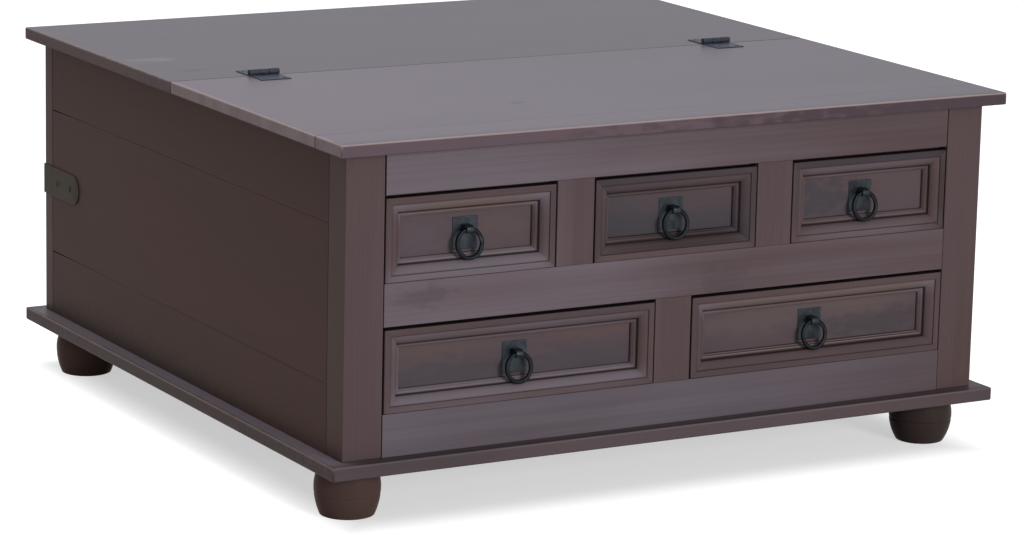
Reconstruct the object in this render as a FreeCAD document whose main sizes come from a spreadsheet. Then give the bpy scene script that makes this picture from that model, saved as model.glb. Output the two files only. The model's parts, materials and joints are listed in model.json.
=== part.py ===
import FreeCAD, Part
import math
import os
from types import SimpleNamespace

import Sketcher

# Storage coffee table of stained pine. Five drawers fill the front half, a trunk with a hinged lid
# the rear half. X runs along the front, Y from front to back, Z up from the floor. Millimetres.

# Driving sizes
SIZES = {
    # body between base board and top
    "body_width": 960.0,
    "body_depth": 944.0,
    "top_rail_height": 56.0,
    "middle_rail_height": 56.0,
    "bottom_rail_height": 56.0,
    "upper_opening_height": 112.0,
    "lower_opening_height": 112.0,
    "rail_thickness": 24.0,
    "post_width": 55.0,
    "front_post_depth": 46.0,
    "rear_post_depth": 26.0,
    "stile_width": 54.0,
    "side_board_thickness": 20.0,
    "back_board_thickness": 18.0,
    "low_board_height": 91.0,
    "high_board_height": 95.0,
    "divider_thickness": 18.0,
    "post_ease": 1.5,
    "board_ease": 1.0,
    # top, lid and base board
    "top_overhang_side": 20.0,
    "top_overhang_front": 26.0,
    "top_thickness": 17.0,
    "top_round": 2.0,
    "seam_gap": 1.6,
    "seam_ease": 0.8,
    "base_overhang_side": 23.0,
    "base_overhang_front": 20.0,
    "base_thickness": 18.0,
    "base_round": 2.0,
    "cleat_width": 60.0,
    "cleat_thickness": 18.0,
    "cleat_length": 380.0,
    "cleat_front_gap": 30.0,
    "cleat_spread": 560.0,
    # turned bun feet
    "foot_height": 66.0,
    "foot_radius": 43.0,
    "foot_sole_radius": 35.0,
    "foot_top_radius": 34.0,
    "foot_belly_height": 37.0,
    "foot_groove_height": 28.0,
    "foot_groove_depth": 1.2,
    "foot_groove_width": 3.0,
    "foot_inset_side": 38.0,
    "foot_inset_front": 59.0,
    "dowel_radius": 8.0,
    "dowel_depth_in_foot": 30.0,
    "dowel_depth_in_base": 12.0,
    "dowel_clearance": 0.05,
    # drawer runners, guides and kickers
    "runner_thickness": 18.0,
    "runner_bearing_width": 13.0,
    "guide_height": 30.0,
    "kicker_thickness": 18.0,
    # drawers
    "drawer_gap_side": 2.0,
    "drawer_gap_top": 3.5,
    "drawer_gap_bottom": 1.0,
    "drawer_gap_back": 1.0,
    "drawer_box_inset": 1.0,
    "drawer_wall_thickness": 12.0,
    "drawer_headroom": 14.0,
    "drawer_bottom_thickness": 5.0,
    "drawer_bottom_raise": 9.0,
    "drawer_groove_depth": 5.0,
    "front_panel_thickness": 11.0,
    # moulded frame of a drawer front, from its outer edge inwards
    "moulding_ease": 1.5,
    "moulding_border": 11.0,
    "moulding_quirk": 1.0,
    "moulding_ovolo_width": 10.5,
    "moulding_ovolo_depth": 8.0,
    "moulding_step": 0.7,
    "moulding_bead": 7.5,
    # ring pulls
    "plate_width": 36.0,
    "plate_gap": 1.25,
    "plate_thickness": 1.5,
    "plate_ease": 0.5,
    "staple_width": 10.0,
    "staple_thickness": 1.4,
    "staple_eye_radius": 3.7,
    "ring_wire_radius": 2.7,
    "ring_setback": 5.5,
    "ring_foot_height": 20.7,
    "pull_raise": 4.0,
    # lid hinges
    "hinge_spread": 716.0,
    "hinge_width": 44.0,
    "hinge_reach": 40.0,
    "hinge_leaf_thickness": 1.6,
    "hinge_axis_height": 4.5,
    "knuckle_radius": 4.2,
    "knuckle_length": 14.4,
    "knuckle_gap": 0.3,
    "knuckle_clearance": 0.5,
    "pin_radius": 2.0,
    "pin_clearance": 0.06,
    "pin_overhang": 0.5,
    "screw_spread": 30.0,
    "screw_outer_row": 32.0,
    "screw_inner_row": 17.0,
    "screw_head_radius": 3.8,
    "screw_dome": 0.5,
    "screw_shank_radius": 1.8,
    "screw_length": 14.0,
    # corner straps and their nails
    "strap_length": 122.0,
    "strap_height": 42.0,
    "strap_thickness": 2.0,
    "strap_level": 193.0,
    "nail_first_inset": 46.0,
    "nail_second_inset": 91.0,
    "nail_head_radius": 5.0,
    "nail_head_height": 2.0,
    "nail_shank_radius": 1.5,
    "nail_length": 14.0,
    "fastener_clearance": 0.05,
    # overshoot of a cut past the face that it opens
    "cut_margin": 1.0,
}

# degrees that a hanging ring leans forward from the plumb line
RING_LEAN = 6.5

X_AXIS = FreeCAD.Vector(1, 0, 0)
Y_AXIS = FreeCAD.Vector(0, 1, 0)
LEFT, RIGHT = -1, 1
SIDES = (("left", LEFT), ("right", RIGHT))
FRONT, REAR = -1, 1


class Size:
    """A length that carries its number together with its formula in the sheet's cells."""

    def __init__(self, number, text):
        self.number = number
        self.text = text

    def __add__(self, other):
        other = as_size(other)
        return Size(self.number + other.number, f"({self.text} + {other.text})")

    def __sub__(self, other):
        other = as_size(other)
        return Size(self.number - other.number, f"({self.text} - {other.text})")

    def __mul__(self, factor):
        return Size(self.number * factor, f"({self.text} * {factor})")

    def __truediv__(self, divisor):
        return Size(self.number / divisor, f"({self.text} / {divisor})")

    def __neg__(self):
        return self * -1


def as_size(value):
    """A plain number becomes a Size that no cell drives."""
    return value if isinstance(value, Size) else Size(float(value), repr(float(value)))


ZERO = as_size(0)
doc = FreeCAD.newDocument("storage_coffee_table")
sheet = doc.addObject("Spreadsheet::Sheet", "Sizes")
for row, (alias, number) in enumerate(SIZES.items(), start=1):
    sheet.set(f"A{row}", alias)
    sheet.set(f"B{row}", str(number))
    sheet.setAlias(f"B{row}", alias)
size = SimpleNamespace(**{alias: Size(number, f"Sizes.{alias}") for alias, number in SIZES.items()})
doc.recompute()
nodes = []


# Levels and places that several pieces share
half_width = size.body_width / 2
half_depth = size.body_depth / 2
front_y = -half_depth
body_height = (
    size.top_rail_height
    + size.upper_opening_height
    + size.middle_rail_height
    + size.lower_opening_height
    + size.bottom_rail_height
)
base_top = size.foot_height + size.base_thickness
lower_sill = base_top + size.bottom_rail_height
upper_sill = lower_sill + size.lower_opening_height + size.middle_rail_height
body_top = base_top + body_height
table_top = body_top + size.top_thickness
frame_width = size.body_width - size.post_width * 2
upper_opening_width = (frame_width - size.stile_width * 2) / 3
lower_opening_width = (frame_width - size.stile_width) / 2
rails_back = front_y + size.rail_thickness
posts_back = front_y + size.front_post_depth
divider_back = -(size.seam_gap / 2)
divider_front = divider_back - size.divider_thickness
inner_half_width = half_width - size.side_board_thickness
moulding_width = size.moulding_border + size.moulding_ovolo_width + size.moulding_bead
ovolo_floor = size.moulding_quirk + size.moulding_ovolo_depth
moulding_depth = ovolo_floor + size.moulding_step + size.moulding_bead


def bind(item, **formulas):
    """Drive properties of an object from the sheet."""
    for name, value in formulas.items():
        item.setExpression(name, as_size(value).text)


def place(item, at, axis=None, degrees=0):
    """Turn an object about an axis and drive its position from the sheet."""
    turn = FreeCAD.Rotation(axis, degrees) if axis else FreeCAD.Rotation()
    item.Placement = FreeCAD.Placement(FreeCAD.Vector(), turn)
    for letter, value in zip("xyz", at):
        item.setExpression(f"Placement.Base.{letter}", as_size(value).text)
    return item


def keep(label, item):
    """Give an object its node name and list it for writing."""
    item.Label = label
    nodes.append(item)
    return item


def group(label, members):
    """Pieces of one node that stay separate solids."""
    compound = doc.addObject("Part::Compound", label)
    compound.Links = members
    return keep(label, compound)


def box(name, at, extent):
    """A square-edged bar or block, from its low corner."""
    block = doc.addObject("Part::Box", name)
    bind(block, Length=extent[0], Width=extent[1], Height=extent[2])
    return place(block, at)


def cylinder(name, at, radius, length, axis=None, degrees=0):
    """A round bar from the centre of its first end, along Z before it is turned."""
    bar = doc.addObject("Part::Cylinder", name)
    bind(bar, Radius=radius, Height=length)
    return place(bar, at, axis, degrees)


def fuse(name, members):
    """Several shapes joined into one solid."""
    joined = doc.addObject("Part::MultiFuse", name)
    joined.Shapes = members
    joined.Refine = True
    return joined


def cut(name, base, tools):
    """A shape with other shapes taken away from it."""
    result = doc.addObject("Part::Cut", name)
    result.Base = base
    result.Tool = tools[0] if len(tools) == 1 else fuse(f"{name}_tools", tools)
    result.Refine = True
    return result


def origin_plane(body, role):
    """One of a body's own origin planes."""
    return next(item for item in body.Origin.OriginFeatures if item.Role == role)


def pin_point(sketch, index, position, x, y):
    """Hold a sketch point at coordinates of the sheet, measured from the sketch's origin."""
    for kind, value, axis in (("DistanceX", x, -2), ("DistanceY", y, -1)):
        if value is None:
            continue
        if value is ZERO:
            sketch.addConstraint(Sketcher.Constraint("PointOnObject", index, position, axis))
            continue
        rule = Sketcher.Constraint(kind, -1, 1, index, position, value.number)
        number = sketch.addConstraint(rule)
        sketch.setExpression(f"Constraints[{number}]", value.text)


def outline(body, name, role, points, arcs=None):
    """A closed sketch through points; arcs gives one coordinate of the centre of a round stretch.

    points are (x, y) pairs, and arcs maps the number of a stretch to the (x, y) of its centre, with
    None for the coordinate that follows from the two ends, and whether it turns anticlockwise.
    """
    arcs = arcs or {}
    sketch = body.newObject("Sketcher::SketchObject", name)
    sketch.AttachmentSupport = [(origin_plane(body, role), "")]
    sketch.MapMode = "FlatFace"
    spots = [FreeCAD.Vector(x.number, y.number, 0) for x, y in points]
    ends = []
    for index, start in enumerate(spots):
        finish = spots[(index + 1) % len(spots)]
        if index not in arcs:
            sketch.addGeometry(Part.LineSegment(start, finish), False)
            ends.append((1, 2))
            continue
        sketch.addGeometry(round_stretch(start, finish, *arcs[index]), False)
        ends.append((1, 2) if arcs[index][2] else (2, 1))
    for index, (x, y) in enumerate(points):
        after = (index + 1) % len(points)
        meeting = Sketcher.Constraint("Coincident", index, ends[index][1], after, ends[after][0])
        sketch.addConstraint(meeting)
        pin_point(sketch, index, ends[index][0], x, y)
    for index, (x, y, _) in arcs.items():
        pin_point(sketch, index, 3, x, y)
    return sketch


def round_stretch(start, finish, x, y, anticlockwise):
    """The arc between two points whose centre has the given x or y."""
    middle = (start + finish) / 2
    across = finish - start
    if x is not None:
        centre = FreeCAD.Vector(x.number, middle.y + (middle.x - x.number) * across.x / across.y, 0)
    else:
        centre = FreeCAD.Vector(middle.x + (middle.y - y.number) * across.y / across.x, y.number, 0)
    first, last = (start, finish) if anticlockwise else (finish, start)
    circle = Part.Circle(centre, FreeCAD.Vector(0, 0, 1), (start - centre).Length)
    return Part.ArcOfCircle(circle, circle.parameter(first), circle.parameter(last))


def pad(body, sketch, length, symmetric=False):
    """A sketch pushed out to a solid."""
    feature = body.newObject("PartDesign::Pad", f"{body.Name}_pad")
    feature.Profile = sketch
    feature.SideType = "Symmetric" if symmetric else "One side"
    bind(feature, Length=length)
    return feature


def revolve(body, sketch):
    """A sketch turned about its own vertical axis."""
    feature = body.newObject("PartDesign::Revolution", f"{body.Name}_turned")
    feature.Profile = sketch
    feature.ReferenceAxis = (sketch, ["V_Axis"])
    feature.Angle = 360
    return feature


def slab(name, at, extent):
    """A plain rectangular body from its low corner, with the pad that edge work is done on."""
    body = doc.addObject("PartDesign::Body", name)
    corners = [(ZERO, ZERO), (extent[0], ZERO), (extent[0], extent[1]), (ZERO, extent[1])]
    feature = pad(body, outline(body, f"{name}_outline", "XY_Plane", corners), extent[2])
    place(body, at)
    return body, feature


def board(name, at, extent, ease):
    """A sawn board with every arris eased."""
    body, feature = slab(name, at, extent)
    chamfer = body.newObject("PartDesign::Chamfer", f"{name}_eased")
    chamfer.Base = (feature, [""])
    chamfer.UseAllEdges = True
    bind(chamfer, Size=ease)
    return body


def edges_where(feature, wanted):
    """Names of a feature's edges whose middle passes a test."""
    doc.recompute()
    edges = enumerate(feature.Shape.Edges, start=1)
    return [f"Edge{number}" for number, edge in edges if wanted(edge.CenterOfMass)]


# Feet and base board
def turned_foot(name, at):
    """A bun foot: two arcs that meet at the belly, a V groove, and a blind hole for its dowel."""
    body = doc.addObject("PartDesign::Body", name)
    hole_radius = size.dowel_radius + size.dowel_clearance
    hole_floor = size.foot_height - size.dowel_depth_in_foot
    points = [
        (ZERO, ZERO),
        (size.foot_sole_radius, ZERO),
        (size.foot_radius, size.foot_belly_height),
        (size.foot_top_radius, size.foot_height),
        (hole_radius, size.foot_height),
        (hole_radius, hole_floor),
        (ZERO, hole_floor),
    ]
    belly = (None, size.foot_belly_height, True)
    revolve(body, outline(body, f"{name}_profile", "XZ_Plane", points, {1: belly, 2: belly}))
    half_groove = size.foot_groove_width / 2
    notch = [
        (size.foot_radius - size.foot_groove_depth, size.foot_groove_height),
        (size.foot_radius + size.cut_margin, size.foot_groove_height - half_groove),
        (size.foot_radius + size.cut_margin, size.foot_groove_height + half_groove),
    ]
    groove = body.newObject("PartDesign::Groove", f"{name}_groove")
    groove.Profile = outline(body, f"{name}_notch", "XZ_Plane", notch)
    groove.ReferenceAxis = (groove.Profile[0], ["V_Axis"])
    groove.Angle = 360
    return place(body, at)


foot_places = [
    ((half_width - size.foot_inset_side) * side, (half_depth - size.foot_inset_front) * end)
    for side in (LEFT, RIGHT)
    for end in (FRONT, REAR)
]
feet = [turned_foot(f"foot_{n}", (x, y, ZERO)) for n, (x, y) in enumerate(foot_places)]
group("bun_feet", feet)
dowel_foot = size.foot_height - size.dowel_depth_in_foot
dowel_length = size.dowel_depth_in_foot + size.dowel_depth_in_base
dowels = [
    cylinder(f"dowel_{n}", (x, y, dowel_foot), size.dowel_radius, dowel_length)
    for n, (x, y) in enumerate(foot_places)
]
group("foot_dowels", dowels)

base_body, base_pad = slab(
    "base_slab",
    (-half_width - size.base_overhang_side, -half_depth - size.base_overhang_front, size.foot_height),
    (
        size.body_width + size.base_overhang_side * 2,
        size.body_depth + size.base_overhang_front * 2,
        size.base_thickness,
    ),
)
base_fillet = base_body.newObject("PartDesign::Fillet", "base_rounded")
base_fillet.Base = (base_pad, [""])
base_fillet.UseAllEdges = True
bind(base_fillet, Radius=size.base_round)
dowel_holes = [
    cylinder(
        f"dowel_hole_{n}",
        (x, y, size.foot_height - size.cut_margin),
        size.dowel_radius + size.dowel_clearance,
        size.dowel_depth_in_base + size.cut_margin,
    )
    for n, (x, y) in enumerate(foot_places)
]
keep("base_board", cut("base_drilled", base_body, dowel_holes))


# Fasteners, turned about Z with the head at the origin and the shank below it
def nail(name, at, axis, degrees):
    """A nail with a domed head."""
    body = doc.addObject("PartDesign::Body", name)
    points = [
        (ZERO, ZERO),
        (size.nail_shank_radius, ZERO),
        (size.nail_shank_radius, size.nail_length),
        (size.nail_head_radius, size.nail_length),
        (ZERO, size.nail_length + size.nail_head_height),
    ]
    dome = {3: (ZERO, None, True)}
    revolve(body, outline(body, f"{name}_profile", "XZ_Plane", points, dome))
    return place(body, at, axis, degrees)


def screw(name, at):
    """A raised countersunk wood screw, driven straight down."""
    body = doc.addObject("PartDesign::Body", name)
    cone_foot = size.screw_length - size.hinge_leaf_thickness
    points = [
        (ZERO, ZERO),
        (size.screw_shank_radius, ZERO),
        (size.screw_shank_radius, cone_foot),
        (size.screw_head_radius, size.screw_length),
        (ZERO, size.screw_length + size.screw_dome),
    ]
    dome = {3: (ZERO, None, True)}
    revolve(body, outline(body, f"{name}_profile", "XZ_Plane", points, dome))
    return place(body, at)


# Posts, rails and stiles of the front, posts of the rear
def post(name, side, y, depth):
    """A corner post on the left or right, as tall as the body."""
    x = -half_width if side == LEFT else half_width - size.post_width
    return board(name, (x, y, base_top), (size.post_width, depth, body_height), size.post_ease)


def rail(name, low, height):
    """A rail across the front between the two posts."""
    extent = (frame_width, size.rail_thickness, height)
    return keep(name, board(f"{name}_board", (-frame_width / 2, front_y, low), extent, size.board_ease))


def stile(name, x, low, height):
    """A short upright between two drawers."""
    at = (x - size.stile_width / 2, front_y, low)
    return board(name, at, (size.stile_width, size.rail_thickness, height), size.board_ease)


keep("front_post_left", post("front_left", LEFT, front_y, size.front_post_depth))
keep("front_post_right", post("front_right", RIGHT, front_y, size.front_post_depth))
rail("bottom_rail", base_top, size.bottom_rail_height)
rail("middle_rail", lower_sill + size.lower_opening_height, size.middle_rail_height)
rail("top_rail", upper_sill + size.upper_opening_height, size.top_rail_height)
upper_stile_x = (upper_opening_width + size.stile_width) / 2
group(
    "drawer_stiles",
    [
        stile("upper_stile_left", -upper_stile_x, upper_sill, size.upper_opening_height),
        stile("upper_stile_right", upper_stile_x, upper_sill, size.upper_opening_height),
        stile("lower_stile", ZERO, lower_sill, size.lower_opening_height),
    ],
)

# Corner straps round the rear corners, with the nails that hold them
strap_middle = base_top + size.strap_level
strap_radius = size.strap_height / 2
straight_leg = size.strap_length - strap_radius
nail_hole_radius = size.nail_shank_radius + size.fastener_clearance


def strap(name, side):
    """A thin iron angle with round ends, one leg on the side and one on the back."""
    face_x = half_width * side
    side_low = face_x if side == RIGHT else face_x - size.strap_thickness
    back_low = face_x - straight_leg if side == RIGHT else face_x
    leg_low = strap_middle - strap_radius
    side_leg_length = straight_leg + size.strap_thickness
    side_leg = box(
        f"{name}_side_leg",
        (side_low, half_depth - straight_leg, leg_low),
        (size.strap_thickness, side_leg_length, size.strap_height),
    )
    side_end = cylinder(
        f"{name}_side_end",
        (side_low, half_depth - straight_leg, strap_middle),
        strap_radius,
        size.strap_thickness,
        Y_AXIS,
        90,
    )
    back_leg = box(
        f"{name}_back_leg",
        (back_low, half_depth, leg_low),
        (straight_leg, size.strap_thickness, size.strap_height),
    )
    back_end = cylinder(
        f"{name}_back_end",
        (face_x - straight_leg * side, half_depth, strap_middle),
        strap_radius,
        size.strap_thickness,
        X_AXIS,
        -90,
    )
    iron = fuse(f"{name}_iron", [side_leg, side_end, back_leg, back_end])
    return cut(name, iron, strap_holes(f"{name}_hole", side))


def strap_holes(name, side):
    """Holes for one strap's nails, from outside the iron to the end of the nail."""
    depth = size.nail_length + size.cut_margin * 2
    outside = size.strap_thickness + size.cut_margin
    holes = []
    for number, along in enumerate((size.nail_first_inset, size.nail_second_inset)):
        at = ((half_width + outside) * side, half_depth - along, strap_middle)
        holes.append(cylinder(f"{name}_side_{number}", at, nail_hole_radius, depth, Y_AXIS, -90 * side))
        at = ((half_width - along) * side, half_depth + outside, strap_middle)
        holes.append(cylinder(f"{name}_back_{number}", at, nail_hole_radius, depth, X_AXIS, 90))
    return holes


def strap_nails(name, side):
    """The four nails of one strap, heads on the iron."""
    sunk = size.nail_length - size.strap_thickness
    nails = []
    for number, along in enumerate((size.nail_first_inset, size.nail_second_inset)):
        at = ((half_width - sunk) * side, half_depth - along, strap_middle)
        nails.append(nail(f"{name}_side_{number}", at, Y_AXIS, 90 * side))
        at = ((half_width - along) * side, half_depth - sunk, strap_middle)
        nails.append(nail(f"{name}_back_{number}", at, X_AXIS, -90))
    return nails


# Side and back boards, three high, and the rear posts, drilled where the strap nails go in
middle_board_height = body_height - size.low_board_height - size.high_board_height
board_levels = [
    ("low", base_top, size.low_board_height),
    ("middle", base_top + size.low_board_height, middle_board_height),
    ("high", body_top - size.high_board_height, size.high_board_height),
]


def side_boards(name, side):
    """Three boards between the front and the rear post of one side."""
    x = -half_width if side == LEFT else inner_half_width
    length = size.body_depth - size.front_post_depth - size.rear_post_depth
    pieces = []
    for level, low, height in board_levels:
        extent = (size.side_board_thickness, length, height)
        piece = board(f"{name}_{level}", (x, posts_back, low), extent, size.board_ease)
        if level == "middle":
            piece = cut(f"{name}_drilled", piece, strap_holes(f"{name}_nail_hole", side))
        pieces.append(piece)
    return pieces


def back_boards(name):
    """Three boards between the rear posts."""
    pieces = []
    for level, low, height in board_levels:
        at = (-frame_width / 2, half_depth - size.back_board_thickness, low)
        extent = (frame_width, size.back_board_thickness, height)
        piece = board(f"{name}_{level}", at, extent, size.board_ease)
        if level == "middle":
            holes = strap_holes(f"{name}_hole_left", LEFT) + strap_holes(f"{name}_hole_right", RIGHT)
            piece = cut(f"{name}_drilled", piece, holes)
        pieces.append(piece)
    return pieces


rear_post_y = half_depth - size.rear_post_depth
for word, side in SIDES:
    rear_post = post(f"rear_{word}", side, rear_post_y, size.rear_post_depth)
    holes = strap_holes(f"rear_{word}_nail_hole", side)
    keep(f"rear_post_{word}", cut(f"rear_{word}_drilled", rear_post, holes))
    group(f"side_boards_{word}", side_boards(f"side_{word}", side))
group("back_boards", back_boards("back"))
group("corner_straps", [strap("strap_left", LEFT), strap("strap_right", RIGHT)])
group("strap_nails", strap_nails("nail_left", LEFT) + strap_nails("nail_right", RIGHT))

# Divider between drawers and trunk
keep(
    "trunk_divider",
    box(
        "divider",
        (-inner_half_width, divider_front, base_top),
        (inner_half_width * 2, size.divider_thickness, body_height),
    ),
)


# Bars that carry the drawers: runners under them, guides beside them, kickers over them
def drawer_bars(row, stile_places, sill, opening_height):
    """Runners, guides and kickers of one row of drawers, behind its posts and its stiles."""
    spans = []
    reach = size.post_width - size.side_board_thickness
    for word, side in SIDES:
        inner = (half_width - size.post_width) * side
        spans.append((word, inner if side == RIGHT else inner - reach, reach, side, posts_back))
    for number, x in enumerate(stile_places):
        spans.append((f"stile_{number}", x - size.stile_width / 2, size.stile_width, 0, rails_back))
    runners, guides, kickers = [], [], []
    for word, low_x, width, side, start in spans:
        length = divider_front - start
        bearing_x = low_x if side == LEFT else low_x - size.runner_bearing_width
        bearing = width + size.runner_bearing_width * (1 if side else 2)
        name = f"{row}_{word}"
        runners.append(
            box(
                f"{name}_runner",
                (bearing_x, start, sill - size.runner_thickness),
                (bearing, length, size.runner_thickness),
            )
        )
        guides.append(box(f"{name}_guide", (low_x, start, sill), (width, length, size.guide_height)))
        kickers.append(
            box(
                f"{name}_kicker",
                (bearing_x, start, sill + opening_height),
                (bearing, length, size.kicker_thickness),
            )
        )
    return runners, guides, kickers


upper_bars = drawer_bars("upper", (-upper_stile_x, upper_stile_x), upper_sill, size.upper_opening_height)
lower_bars = drawer_bars("lower", (ZERO,), lower_sill, size.lower_opening_height)
for label, upper, lower in zip(("drawer_runners", "drawer_guides", "drawer_kickers"), upper_bars, lower_bars):
    group(label, upper + lower)


# Drawers
def moulding_strip(name, length, at, degrees):
    """One strip of a moulded frame, mitred at both ends.

    The section runs from a flat border over a quirk into a bulging ovolo, a step and a round bead. The
    strip lies along X with its outer edge down, and is turned about Y to its side of the frame.
    """
    body = doc.addObject("PartDesign::Body", name)
    ovolo_end = size.moulding_border + size.moulding_ovolo_width
    bead_top = ovolo_floor + size.moulding_step
    section = [
        (moulding_depth, ZERO),
        (moulding_depth, moulding_width),
        (bead_top, ovolo_end),
        (ovolo_floor, ovolo_end),
        (size.moulding_quirk, size.moulding_border),
        (ZERO, size.moulding_border),
        (ZERO, size.moulding_ease),
        (size.moulding_ease, ZERO),
    ]
    rounds = {1: (None, ovolo_end, True), 3: (None, size.moulding_border, True)}
    strip = pad(body, outline(body, f"{name}_section", "YZ_Plane", section, rounds), length, True)
    half = length / 2
    depth = moulding_width + size.cut_margin
    corner = [
        (half, ZERO),
        (half + size.cut_margin, ZERO),
        (half + size.cut_margin, depth),
        (half - depth, depth),
    ]
    mitre = body.newObject("PartDesign::Pocket", f"{name}_mitre")
    mitre.Profile = outline(body, f"{name}_corner", "XZ_Plane", corner)
    mitre.SideType = "Symmetric"
    bind(mitre, Length=moulding_depth * 2 + size.cut_margin)
    other_end = body.newObject("PartDesign::Mirrored", f"{name}_both_mitres")
    other_end.Originals = [mitre]
    other_end.MirrorPlane = (origin_plane(body, "YZ_Plane"), [""])
    body.Tip = other_end
    doc.recompute()
    if not other_end.Shape.Volume < mitre.Shape.Volume < strip.Shape.Volume:
        raise RuntimeError(f"{name}: a mitre cut nothing")
    return place(body, at, Y_AXIS, degrees)


def moulding_frame(name, centre_x, low, width, height):
    """The four strips round a drawer front."""
    middle = low + height / 2
    strips = (
        ("bottom", width, centre_x, low, 0),
        ("left", height, centre_x - width / 2, middle, 90),
        ("top", width, centre_x, low + height, 180),
        ("right", height, centre_x + width / 2, middle, -90),
    )
    return [
        moulding_strip(f"{name}_{word}", length, (x, front_y, z), degrees)
        for word, length, x, z, degrees in strips
    ]


def staple(name, centre_x, pivot_z):
    """A bent iron strap that stands out from the plate and holds the ring in its eye."""
    pivot_y = front_y + size.ring_setback
    reach = moulding_depth - size.plate_thickness - size.ring_setback
    low_x = centre_x - size.staple_width / 2

    def stadium(word, radius, length):
        """A straight bar with a half-round front end, across the ring's pivot."""
        bar = box(
            f"{name}_{word}_bar",
            (low_x, pivot_y, pivot_z - radius),
            (size.staple_width, length, radius * 2),
        )
        end = cylinder(
            f"{name}_{word}_end", (low_x, pivot_y, pivot_z), radius, size.staple_width, Y_AXIS, 90
        )
        return fuse(f"{name}_{word}", [bar, end])

    outside = stadium("outside", size.staple_eye_radius + size.staple_thickness, reach)
    eye = stadium("eye", size.staple_eye_radius, reach + size.cut_margin)
    return cut(name, outside, [eye])


def ring_pull(name, centre_x, front_low, front_height):
    """The plate with its staple, and the ring that hangs in the staple.

    The ring reaches down to its foot height over the front's lower edge, where it leans on the frame's
    bottom strip. The plate follows the height of the panel in sight.
    """
    middle_z = front_low + front_height / 2
    sight_height = front_height - moulding_width * 2
    pivot_z = middle_z + size.pull_raise
    ring_radius = (pivot_z - front_low - size.ring_foot_height) / 2
    plate_y = front_y + moulding_depth - size.plate_thickness
    plate_drop = sight_height / 2 - size.plate_gap
    plate = board(
        f"{name}_back",
        (centre_x - size.plate_width / 2, plate_y, middle_z - plate_drop),
        (size.plate_width, size.plate_thickness, plate_drop + sight_height * 0.375),
        size.plate_ease,
    )
    group(f"{name}_plate", [plate, staple(f"{name}_staple", centre_x, pivot_z)])
    ring = doc.addObject("Part::Torus", f"{name}_torus")
    bind(ring, Radius1=ring_radius, Radius2=size.ring_wire_radius)
    lean = math.radians(RING_LEAN)
    at = (
        centre_x,
        front_y + size.ring_setback - ring_radius * math.sin(lean),
        pivot_z - ring_radius * math.cos(lean),
    )
    keep(f"{name}_ring", place(ring, at, X_AXIS, 90 - RING_LEAN))


def drawer(name, centre_x, sill, opening_width, opening_height):
    """A drawer: front panel, moulded frame, walls, bottom and ring pull."""
    front_width = opening_width - size.drawer_gap_side * 2
    front_low = sill + size.drawer_gap_bottom
    front_height = opening_height - size.drawer_gap_bottom - size.drawer_gap_top
    panel_y = front_y + moulding_depth
    walls_y = panel_y + size.front_panel_thickness
    back_end = divider_front - size.drawer_gap_back
    box_half = front_width / 2 - size.drawer_box_inset
    wall = size.drawer_wall_thickness
    inner_half = box_half - wall
    wall_height = opening_height - size.drawer_headroom
    bottom_low = sill + size.drawer_bottom_raise
    bottom_high = bottom_low + size.drawer_bottom_thickness
    bottom_half = inner_half + size.drawer_groove_depth
    bottom_y = walls_y - size.drawer_groove_depth
    bottom_at = (centre_x - bottom_half, bottom_y, bottom_low)
    bottom_extent = (bottom_half * 2, back_end - bottom_y, size.drawer_bottom_thickness)

    def grooved(word, piece):
        """A front panel or wall with the groove that takes the bottom."""
        groove = box(f"{name}_{word}_groove", bottom_at, bottom_extent)
        return cut(f"{name}_{word}_grooved", piece, [groove])

    panel = box(
        f"{name}_front",
        (centre_x - front_width / 2, panel_y, front_low),
        (front_width, size.front_panel_thickness, front_height),
    )
    keep(f"{name}_drawer_panel", grooved("panel", panel))
    group(
        f"{name}_drawer_moulding",
        moulding_frame(f"{name}_moulding", centre_x, front_low, front_width, front_height),
    )
    wall_extent = (wall, back_end - walls_y, wall_height)
    left = box(f"{name}_left", (centre_x - box_half, walls_y, sill), wall_extent)
    right = box(f"{name}_right", (centre_x + inner_half, walls_y, sill), wall_extent)
    back = box(
        f"{name}_back",
        (centre_x - inner_half, back_end - wall, bottom_high),
        (inner_half * 2, wall, sill + wall_height - bottom_high),
    )
    group(f"{name}_drawer_walls", [grooved("left", left), grooved("right", right), back])
    keep(f"{name}_drawer_bottom", box(f"{name}_base", bottom_at, bottom_extent))
    ring_pull(f"{name}_pull", centre_x, front_low, front_height)


upper_step = upper_opening_width + size.stile_width
lower_step = (lower_opening_width + size.stile_width) / 2
for name, centre_x in (("upper_left", -upper_step), ("upper_middle", ZERO), ("upper_right", upper_step)):
    drawer(name, centre_x, upper_sill, upper_opening_width, size.upper_opening_height)
for name, centre_x in (("lower_left", -lower_step), ("lower_right", lower_step)):
    drawer(name, centre_x, lower_sill, lower_opening_width, size.lower_opening_height)

# Hinges on the seam between the fixed half of the top and the lid
hinge_places = [(f"hinge_{word}", size.hinge_spread / 2 * side) for word, side in SIDES]
hinge_axis = table_top + size.hinge_axis_height
leaf_gap = size.knuckle_radius + size.knuckle_clearance
outer_knuckle = size.hinge_width / 2 - size.knuckle_length
lid_knuckle_half = outer_knuckle - size.knuckle_gap
screw_places = [
    (-size.screw_spread / 2, size.screw_outer_row),
    (size.screw_spread / 2, size.screw_outer_row),
    (ZERO, size.screw_inner_row),
]


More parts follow.
